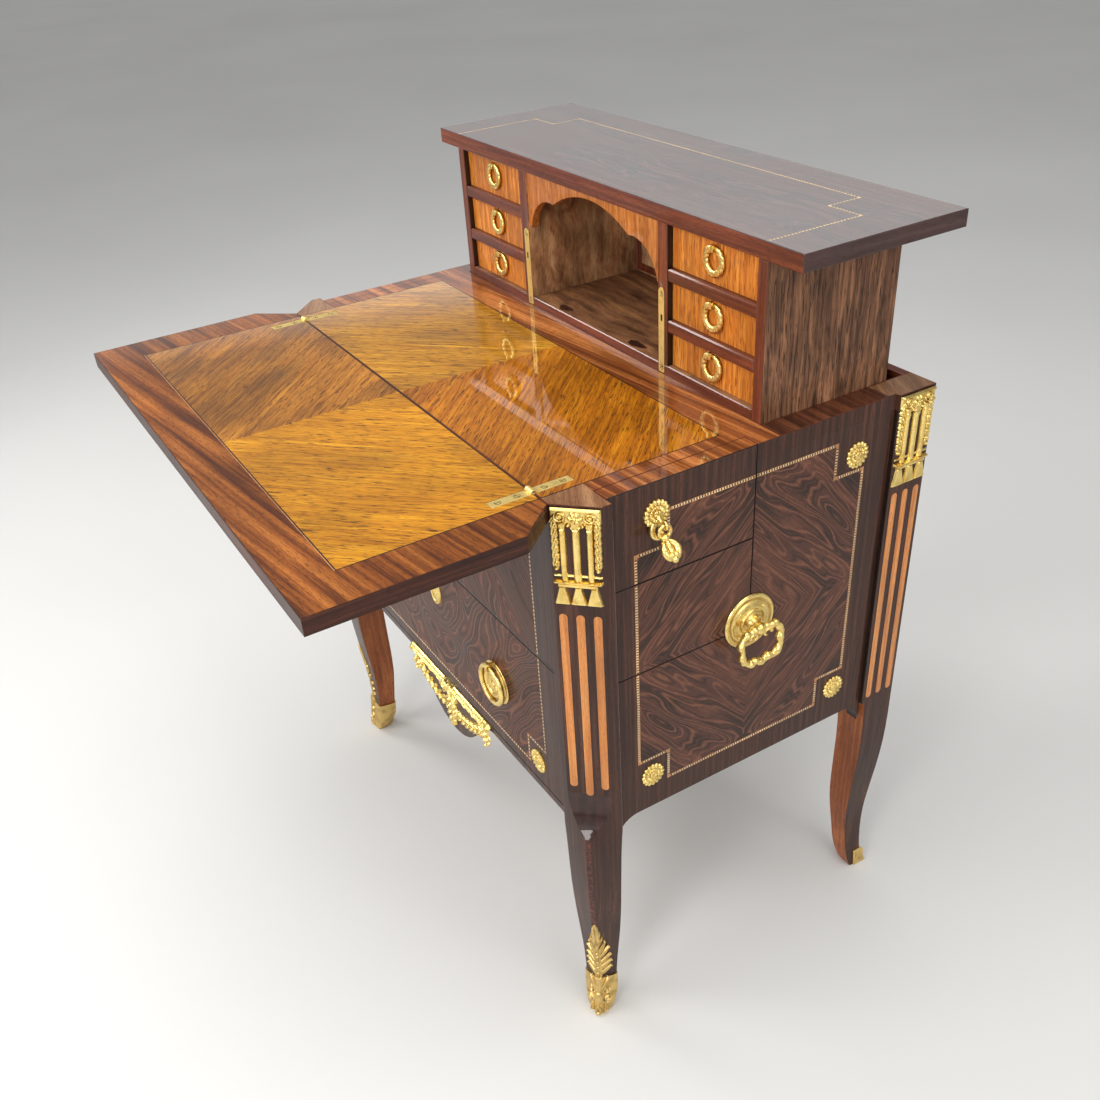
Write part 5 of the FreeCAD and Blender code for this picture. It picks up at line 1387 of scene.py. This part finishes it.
class DESK_OT_side_pulls(bpy.types.Operator):
    """Drop pulls and bail pulls of the side drawers"""

    bl_idname = "desk.side_pulls"
    bl_label = "Side drawer pulls"

    def execute(self, context):
        for side, sign in SIDES:
            self.drop(side, sign)
            self.bail(side, sign)
        return {"FINISHED"}

    def drop(self, side, sign):
        """A rosette with a ringed eye and a scroll, and the scrolled drop that hangs in it."""
        plate, pull = "drop_plate_" + side, "drop_pull_" + side
        low, high = extent(plate)
        y, z = (low.y + high.y) / 2, (low.z + high.z) / 2
        out, pivot = 14.0, z - 7.0
        base = on_side(sign)
        shape = Shape()
        shape.daisy(set_at(base, (y, z)), 15.5, 18, 5.0)
        shape.tube([base(y, pivot + 3.7 * math.sin(t), out + 3.7 * math.cos(t)) for t in turn_steps(28)],
                   1.45, 8, closed=True)
        stalk = rounded([base(y, z - 1, 2), base(y, pivot + 2.5, 5), base(y, pivot + 0.5, 9.2)], 6)
        shape.tube(stalk, lambda share, angle: 3.2 - 1.4 * share, 10)
        shape.tube(rounded([base(y - 5, z - 8, 3.0), base(y - 8, z - 15, 4.0), base(y - 7, z - 21, 6.0),
                            base(y - 2, z - 22, 8.6), base(y + 1, z - 18, 8.0), base(y - 3, z - 16, 7.0)], 7),
                   lambda share, angle: 3.6 - 1.4 * share, 10)
        shape.gilt("drop_rosette_" + side, BODY_OF[plate], plate)
        shape = Shape()
        shape.tube([base(y + 7 * math.sin(t), pivot - 7 + 7 * math.cos(t), out) for t in turn_steps(36)],
                   1.9, 9, closed=True)
        tilt = math.radians(48)

        def hang(across, down, off=0.0):
            return base(y + across, pivot - 14 - down * math.cos(tilt) + off * math.sin(tilt),
                        out + down * math.sin(tilt) + off * math.cos(tilt))
        shape.ball(hang(0, 0), 5.0)
        shape.ball(hang(0, 6), 4.0)
        for hand in (1, -1):
            arm = rounded([hang(0, 4), hang(4.6 * hand, 6, 1), hang(7.4 * hand, 11, 1.5),
                           hang(6.8 * hand, 17), hang(3.6 * hand, 21, -1), hang(1.6 * hand, 17.5, 0.5)], 7)
            shape.tube(arm, lambda share, angle: 2.6 + 1.3 * math.sin(math.pi * share) ** 2, 10)
            shape.ball(hang(2.4 * hand, 19, 1.8), 3.4)
            shape.ball(hang(7.4 * hand, 12, 2.6), 3.2)
        shape.tube([hang(0, 3), hang(0, 8, 0.5), hang(0, 13, 0.8), hang(0, 19, 0.4)],
                   lambda share, angle: 2.4 + 1.2 * math.sin(math.pi * share), 10)
        shape.ball(hang(0, 23), 4.0)
        shape.gilt("scroll_drop_" + side, pull, pull)

    def bail(self, side, sign):
        """A turned dish with a swirl and beads, and the bail with knops and curls that swings on it."""
        plate, pull = "bail_plate_" + side, "bail_pull_" + side
        low, high = extent(plate)
        y, z = (low.y + high.y) / 2, (low.z + high.z) / 2
        base = set_at(on_side(sign), (y, z))
        shape = Shape()
        shape.turned([(33.4, SEAT), (34, 0.8), (33.4, 2.2), (31.6, 3.2), (29.6, 2.8), (28.2, 1.9),
                      (26.8, 2.0), (25.8, 3.2), (23.6, 4.2), (20.0, 4.6), (19.2, 5.2), (17.0, 5.3),
                      (16.2, 4.9), (14.0, 5.4), (12.2, 6.6), (10.0, 7.2), (8.2, 9.4), (7.0, 12.8),
                      (6.2, 15.4), (6.6, 17.4), (7.0, 20.0), (6.4, 22.6), (4.6, 24.2), (2.4, 24.8),
                      (0.3, 25.0)], base, 56)
        swirl = [base((16.5 - 8.8 * t) * math.cos(0.9 + 6.9 * t), (16.5 - 8.8 * t) * math.sin(0.9 + 6.9 * t),
                      5.4 + 4.2 * t * t) for t in (k / 40 for k in range(41))]
        shape.tube(swirl, lambda share, angle: 1.6 + 2.4 * share, 10)
        for k in range(4):
            angle = math.pi / 4 + math.pi / 2 * k
            shape.ball(base(22.4 * math.cos(angle), 22.4 * math.sin(angle), 4.4), 1.5)
        shape.gilt("bail_dish_" + side, BODY_OF[plate], plate, edge=50)
        shape = Shape()
        half = [(3.0, 0.0, 0), (9.0, 1.6, 0), (15.0, 0.2, 0.4), (20.0, -1.0, 0.6), (25.0, -6.0, 0.8),
                (28.0, -13.0, 1.4), (26.0, -20.0, 2.0), (26.6, -28.0, 2.6), (22.0, -36.0, 3.0),
                (15.0, -39.6, 3.2), (9.0, -37.8, 3.4), (3.0, -40.6, 3.4)]
        corners = [base(u, v, 20 + w) for u, v, w in half]
        corners += [base(-u, v, 20 + w) for u, v, w in half[::-1]]
        path = rounded(corners, 6, closed=True)
        count = len(corners)

        def knops(share, angle):
            along = share * count
            swell = 0.0 if along < 1.2 or along > count - 1.2 else abs(math.cos(math.pi * along / 2)) ** 3
            return 3.5 + 1.5 * swell + 0.4 * math.cos(3 * angle)
        shape.tube(path, knops, 12, closed=True)
        for u, v, w, size in ((20.4, 1.6, 0.8, 3.8), (29.0, -12.6, 1.4, 3.6), (24.6, -33.6, 2.8, 4.4),
                              (9.0, -38.0, 3.4, 4.4), (0.0, -42.0, 3.4, 4.6)):
            for hand in ((1, -1) if u else (1,)):
                shape.ball(base(hand * u, v, 20 + w), size)
        for hand in (1, -1):
            curl = [base(hand * (10 + 5 * math.cos(t)), -8 + 5 * math.sin(t) * (1 - t / 14), 20.6)
                    for t in (0.4 * k for k in range(12))]
            shape.tube(curl, lambda share, angle: 2.6 - 1.4 * share, 9)
        shape.gilt("rococo_bail_" + side, pull, pull)


def medallion(u, v):
    """Height of the matted oval in a ring plate: crossed sprays round a flower."""
    skins = [flower(u, v, (0, 0), 4.0, 5, 2.2)]
    for k in range(10):
        angle = math.pi * 2 * (k + 0.5) / 10
        base = (4.2 * math.cos(angle), 4.2 * math.sin(angle))
        tip = (11.4 * math.cos(angle + 0.35), 11.4 * math.sin(angle + 0.35))
        skins.append(leaf(u, v, base, tip, 4.4, 1.9))
    return np.maximum.reduce(skins)


def keyhole_plate(u, v):
    """Height of the escutcheon: a rimmed shield under a ribbon bow, with the keyhole left open."""
    oval = 1 - (u / 12.5) ** 2 - ((v - 20) / 20) ** 2
    bead = 3.0 * np.sqrt(np.clip(1 - ((oval - 0.17) / 0.17) ** 2, 0.1, 1))
    rim = np.where((oval > 0) & (oval < 0.34), bead, -1.0)
    hole = (np.hypot(u, v - 24) < 2.3) | ((np.abs(u) < 1.0) & (v > 14) & (v < 24))
    rows = ((volute, [(5.6, 45)], 5.2, 1.4, 1.3, 3.4), (flower, [(0, 44)], 4.2, 6, 3.8),
            (leaf, [(1, 42), (11.5, 34)], 5, 3.0, 2), (leaf, [(0, 46), (0, 54)], 5, 3.0))
    return carved(u, v, rows, np.where((oval > 0) & ~hole, 1.3, -1.0), rim)


class DESK_OT_bottom_drawer_mounts(bpy.types.Operator):
    """Ring pulls, keyhole plate and rosettes of the bottom drawer"""

    bl_idname = "desk.bottom_drawer_mounts"
    bl_label = "Bottom drawer mounts"

    def execute(self, context):
        shield_top = extent("bottom_drawer_mounts")[1].z
        shape = Shape()
        shape.relief(keyhole_plate, (-14, 14), (-0.5, 54), 0.6, set_at(on_front, (0, shield_top - 54)))
        # A black plate in the keyhole: painted shade in the hole
        shape.finish = 1
        hole_low, hole_high = shield_top - 41, shield_top - 27
        shape.plate([(-3, hole_low), (3, hole_low), (3, hole_high), (-3, hole_high)], on_front, -0.2, 0.25)
        shape.gilt("keyhole_plate", "bottom_drawer", "bottom_drawer_mounts", 55, ("gilt", "ebony_and_painted_shade"))
        for side, sign in SIDES:
            low, high = extent("bottom_ring_" + side)
            middle = (low + high) / 2
            wire = (high.y - low.y) / 2
            radius = (high.x - low.x) / 2 - wire
            base = set_at(on_front, (middle.x, middle.z))
            shape = Shape()
            shape.turned([(28.2, SEAT), (28.6, 0.8), (28.0, 1.6), (26.6, 1.9), (26.0, 2.8), (22.4, 3.2),
                          (20.0, 3.4), (19.6, 5.6), (18.6, 7.2), (17.0, 8.2), (15.4, 8.0), (14.4, 6.6),
                          (13.4, 5.6), (12.2, 5.3), (6, 5.5), (0.4, 5.6)], base, 56)
            shape.relief(medallion, (-12, 12), (-12, 12), 0.6, lambda u, v, w: base(u, v, w + 5.2))
            out = FRONT_Y - middle.y
            eye = ((5.2, SEAT), (5.4, out - 1.0), (4.2, out + 3.4), (0, out + 5.0), (-4.2, out + 3.4),
                   (-5.2, out - 1.0), (-5.0, 2.0))
            shape.tube(rounded([base(0, radius + v, w) for v, w in eye], 6), 1.5, 9)
            shape.daisy(set_at(on_front, (ROSETTE_X * sign, 355.0)), *ROSETTE)
            shape.gilt("ring_plate_" + side, "bottom_drawer", "bottom_drawer_mounts", edge=50)
            ring = Shape()
            path = [base(radius * math.sin(t), radius * math.cos(t), out) for t in turn_steps(96)]
            ring.tube(path, lambda share, angle: wire * (1.04 + 0.10 * math.cos(2 * angle)), 14, closed=True)
            ring.gilt("smooth_ring_" + side, "bottom_ring_" + side, "bottom_ring_" + side)
        return {"FINISHED"}


def swag(u, v):
    """Height of the apron mount: two reeded bars, a bow, leafy swags, tassels and a hanging spray."""
    bar = np.abs(u)
    reeds = 0.86 + 0.14 * np.cos(2 * math.pi * (v - 311) / 2.6)
    bands = 1 + 0.22 * (np.abs((bar - 14) % 23.5 - 11.7) < 1.8)
    profile = 5.6 * np.sqrt(np.clip(1 - ((v - 311) / 6.6) ** 2, 0, 1)) * reeds * bands
    bars = np.where((bar > 13) & (bar < 111) & (np.abs(v - 311) < 6.4), profile, -1.0)
    rows = [(dome, [(109, 311)], 7.6, 7.4), (volute, [(9.5, 311)], 9.0, 1.3, 2.2, 7.0),
            (flower, [(0, 309)], 6.5, 6, 8.0), (leaf, [(2, 306), (19, 291)], 8, 6.0, 2),
            (leaf, [(0, 262), (0, 240.5)], 9, 6.0, 2)]
    for k in range(9):
        share = k / 8
        a = (100 - 94 * share, 297 - 24 * math.sin(math.pi / 2 * share) - 4 * math.sin(math.pi * share))
        b = (a[0] - 11, a[1] - 8 + 12 * (share - 0.5))
        c = (a[0] - 9, a[1] + 8)
        rows += [(leaf, [a, b], 7.5, 5.6, 3), (leaf, [a, c], 6.0, 4.8, 2), (dome, [a], 2.8, 6.6)]
    for du, dv, size in ((0, 0, 5.2), (-6, -5, 4.4), (5, -6, 4.4), (-1, -10, 4.6), (1, -17, 3.6)):
        rows.append((dome, [(101 + du, 297 + dv)], size, 6.4))
    for k in range(4):
        z = 292 - 11 * k
        rows += [(leaf, [(1, z), (15 - 2.4 * k, z - 13)], 8.5, 6.0, 3), (dome, [(0, z - 3)], 3.4, 7.0)]
    return carved(u, v, rows, bars)


class DESK_OT_apron_mount(bpy.types.Operator):
    """Bow and swag on the apron"""

    bl_idname = "desk.apron_mount"
    bl_label = "Apron mount"

    def execute(self, context):
        low, high = extent("apron_mount")
        shape = Shape()
        shape.relief(swag, (low.x - 2, high.x + 2), (low.z, high.z), 0.85, on_front)
        shape.gilt("swag_mount", "carcass", "apron_mount", edge=55)
        return {"FINISHED"}


def on_leg(sign, skins, corner, front):
    """A place wrapped round a leg: u along its skin from the outer ridge towards its side face."""
    inward = Vector((-sign, front, 0)).normalized()
    levels, depths = [], []
    for z in (2.0 + 3.0 * k for k in range(80)):
        start = Vector((sign * corner[0], corner[1], z)) * MM - inward * 0.05
        hits = [skin.ray_cast(start, inward) for skin in skins]
        reach = [hit[3] * 1000 - 50 for hit in hits if hit[0] is not None]
        if reach:
            levels.append(z)
            depths.append(min(reach) / math.sqrt(2) + 12.0)

    def place(u, v, w):
        depth = float(np.interp(v, levels, depths))
        middle = Vector((sign * (corner[0] - depth), corner[1] + front * depth, v))
        angle = u / 15.0 - math.pi / 4
        out = Vector((sign * math.cos(angle), front * math.sin(angle), 0))
        hits = [skin.ray_cast((middle + out * 60) * MM, -out) for skin in skins]
        reach = min(hit[3] * 1000 for hit in hits if hit[0] is not None)
        return middle + out * (60 - reach + w)
    return place


def board_skin(name):
    """A search tree over a finished piece."""
    mesh = bpy.data.objects[name].data
    return BVHTree.FromPolygons([v.co.copy() for v in mesh.vertices],
                                [list(p.vertices) for p in mesh.polygons])


def spray(u, v):
    """Height of a front sabot's carving: toe volutes, cartouche and an acanthus spray up the ridge."""
    oval = 1 - (u / 5.4) ** 2 - ((v - 31) / 9.5) ** 2
    cartouche = np.where(oval > 0, 1.2 + 2.0 * np.sqrt(np.clip(oval, 0, 1)), -1.0)
    rows = [(leaf, [(0, 1), (0, 19)], 9, 4.4), (dome, [(0, 6)], 5.0, 5.2),
            (leaf, [(9.4, 3), (8.4, 20)], 5.6, 4.0), (dome, [(9.4, 7.5)], 3.4, 4.4),
            (volute, [(10.8, 28)], 6.2, 1.5, 1.3, 2.8), (volute, [(9.4, 43)], 5.0, 1.4, 1.2, 2.8, -1),
            (leaf, [(3, 42), (13.5, 62)], 5.0, 3.2, 2), (leaf, [(0, 42), (0, 64)], 8, 3.8),
            (leaf, [(0, 130), (0, 174)], 11, 4.0, 3), (leaf, [(1, 126), (7.5, 146)], 4.4, 3.4)]
    for z, reach, rise, width in ((70, 17.0, 10, 7.0), (81, 17.0, 10, 7.0), (91, 16.5, 12, 7.0),
                                  (102, 15.0, 17, 6.6), (109, 10.0, 25, 5.6)):
        rows += [(leaf, [(0.8, z), (reach, z + rise)], width, 3.6), (dome, [(0, z + 4)], 2.6, 4.2),
                 (dome, [(reach - 0.6, z + rise - 1.6)], 1.8, 4.0)]
    return carved(u, v, rows, cartouche, wedge(u, v, 0, 52, 138, 5.4, 1.8, 1.8),
                  block(u, v, (-1.3, 1.3), (50, 138), 2.8, 1.2))


def toe(u, v):
    """Height of a rear shoe's carving."""
    return carved(u, v, ((leaf, [(0, 1), (0, 25)], 9, 3.0), (dome, [(0, 5)], 4.0, 3.4),
                         (leaf, [(5, 2), (11, 20)], 6.5, 2.6, 2)))


class DESK_OT_sabots(bpy.types.Operator):
    """Gilt shoes with acanthus sprays"""

    bl_idname = "desk.sabots"
    bl_label = "Sabots"

    def execute(self, context):
        softened("leg_sabots", ("gilt_old",), width=0.0012, keep=lambda p: p.y > 0)
        rear = extent("rear_posts")[1].y
        for side, sign in SIDES:
            shape = Shape()
            self.sleeve(shape, sign)
            shoe = BVHTree.FromPolygons([p * MM for p in shape.points], shape.faces)
            shape.relief(spray, (-19, 19), (1, 174), 0.7,
                         on_leg(sign, (shoe, board_skin("wood_front_posts")), (POST_X, POST_Y), 1), 0.8)
            shape.gilt("acanthus_sabot_" + side, "carcass", "leg_sabots", finishes=("gilt_old",))
            shape = Shape()
            shape.relief(toe, (-12, 12), (0.6, 25), 0.6,
                         on_leg(sign, (board_skin("wood_leg_sabots"),), (REAR_POST_X, rear), -1), 0.6)
            shape.gilt("rear_toe_leaf_" + side, "carcass", finishes=("gilt_old",))
        return {"FINISHED"}

    def sleeve(self, shape, sign):
        """A swelling shoe round the foot: high at the ridge, lower at the inner corner."""
        levels, insets, widths = (0, 30, 60, 110), (6.5, 9.5, 11.0, 10.5), (20.0, 26.0, 28.0, 33.0)
        swell = ((0, 4, 12, 30, 48, 66), (1.4, 3.0, 4.4, 4.8, 3.2, 1.4))
        square = ((0, 30, 66), (3.6, 3.6, 7.5))
        count = 64
        rows = []
        for step in range(15):
            row = []
            for angle in turn_steps(count):
                away = math.sin(angle / 2)
                top = 66.0 - 12.0 * away ** 0.9
                z = top * min(step, 12) / 12
                skin = float(np.interp(z, *swell)) - (0, 0.8, 2.6)[max(0, step - 12)]
                power = float(np.interp(z, *square))
                half = float(np.interp(z, levels, widths)) / 2
                middle = float(np.interp(z, levels, insets)) + half
                du, dv = math.cos(angle - math.pi / 4), math.sin(angle - math.pi / 4)
                reach = (half + skin) / (abs(du) ** power + abs(dv) ** power) ** (1 / power)
                row.append(Vector((sign * (POST_X - middle + du * reach), POST_Y + middle + dv * reach, z)))
            rows.append(row)
        shape.rows(rows)
        shape.put(rows[0], [list(range(count))])


CLASSES = (DeskSizes, DeskColours, DESK_OT_stage, DESK_OT_finishes, DESK_OT_carcass, DESK_OT_box,
           DESK_OT_drawers, DESK_OT_writing_surface, DESK_OT_box_top_inlay, DESK_OT_side_fields,
           DESK_OT_front_fields, DESK_OT_flutes, DESK_OT_ironwork, DESK_OT_post_mounts, DESK_OT_rosettes,
           DESK_OT_small_rings, DESK_OT_side_pulls, DESK_OT_bottom_drawer_mounts, DESK_OT_apron_mount,
           DESK_OT_sabots)


class DESK_PT_panel(bpy.types.Panel):
    """Lists the steps and the sizes and colours that a user may change"""

    bl_idname = "DESK_PT_panel"
    bl_label = "Folding-top desk"
    bl_space_type = "VIEW_3D"
    bl_region_type = "UI"
    bl_category = "Desk"

    def draw(self, context):
        for group in (context.scene.desk_sizes, context.scene.desk_colours):
            for name in group.bl_rna.properties.keys():
                if name not in ("rna_type", "name"):
                    self.layout.prop(group, name)
        for item in CLASSES:
            if issubclass(item, bpy.types.Operator):
                self.layout.operator(item.bl_idname)


def register():
    """Add the settings, steps and panel to Blender."""
    for item in CLASSES + (DESK_PT_panel,):
        bpy.utils.register_class(item)
    bpy.types.Scene.desk_sizes = PointerProperty(type=DeskSizes)
    bpy.types.Scene.desk_colours = PointerProperty(type=DeskColours)


def unregister():
    """Take the settings, steps and panel out again."""
    del bpy.types.Scene.desk_colours
    del bpy.types.Scene.desk_sizes
    for item in reversed(CLASSES + (DESK_PT_panel,)):
        bpy.utils.unregister_class(item)


def main():
    """Dress the desk step by step."""
    register()
    bpy.ops.desk.stage()
    bpy.ops.desk.finishes()
    bpy.ops.desk.carcass()
    bpy.ops.desk.box()
    bpy.ops.desk.drawers()
    bpy.ops.desk.writing_surface()
    bpy.ops.desk.box_top_inlay()
    bpy.ops.desk.side_fields()
    bpy.ops.desk.front_fields()
    bpy.ops.desk.flutes()
    bpy.ops.desk.ironwork()
    bpy.ops.desk.post_mounts()
    bpy.ops.desk.rosettes()
    bpy.ops.desk.small_rings()
    bpy.ops.desk.side_pulls()
    bpy.ops.desk.bottom_drawer_mounts()
    bpy.ops.desk.apron_mount()
    bpy.ops.desk.sabots()


if __name__ == "__main__":
    main()
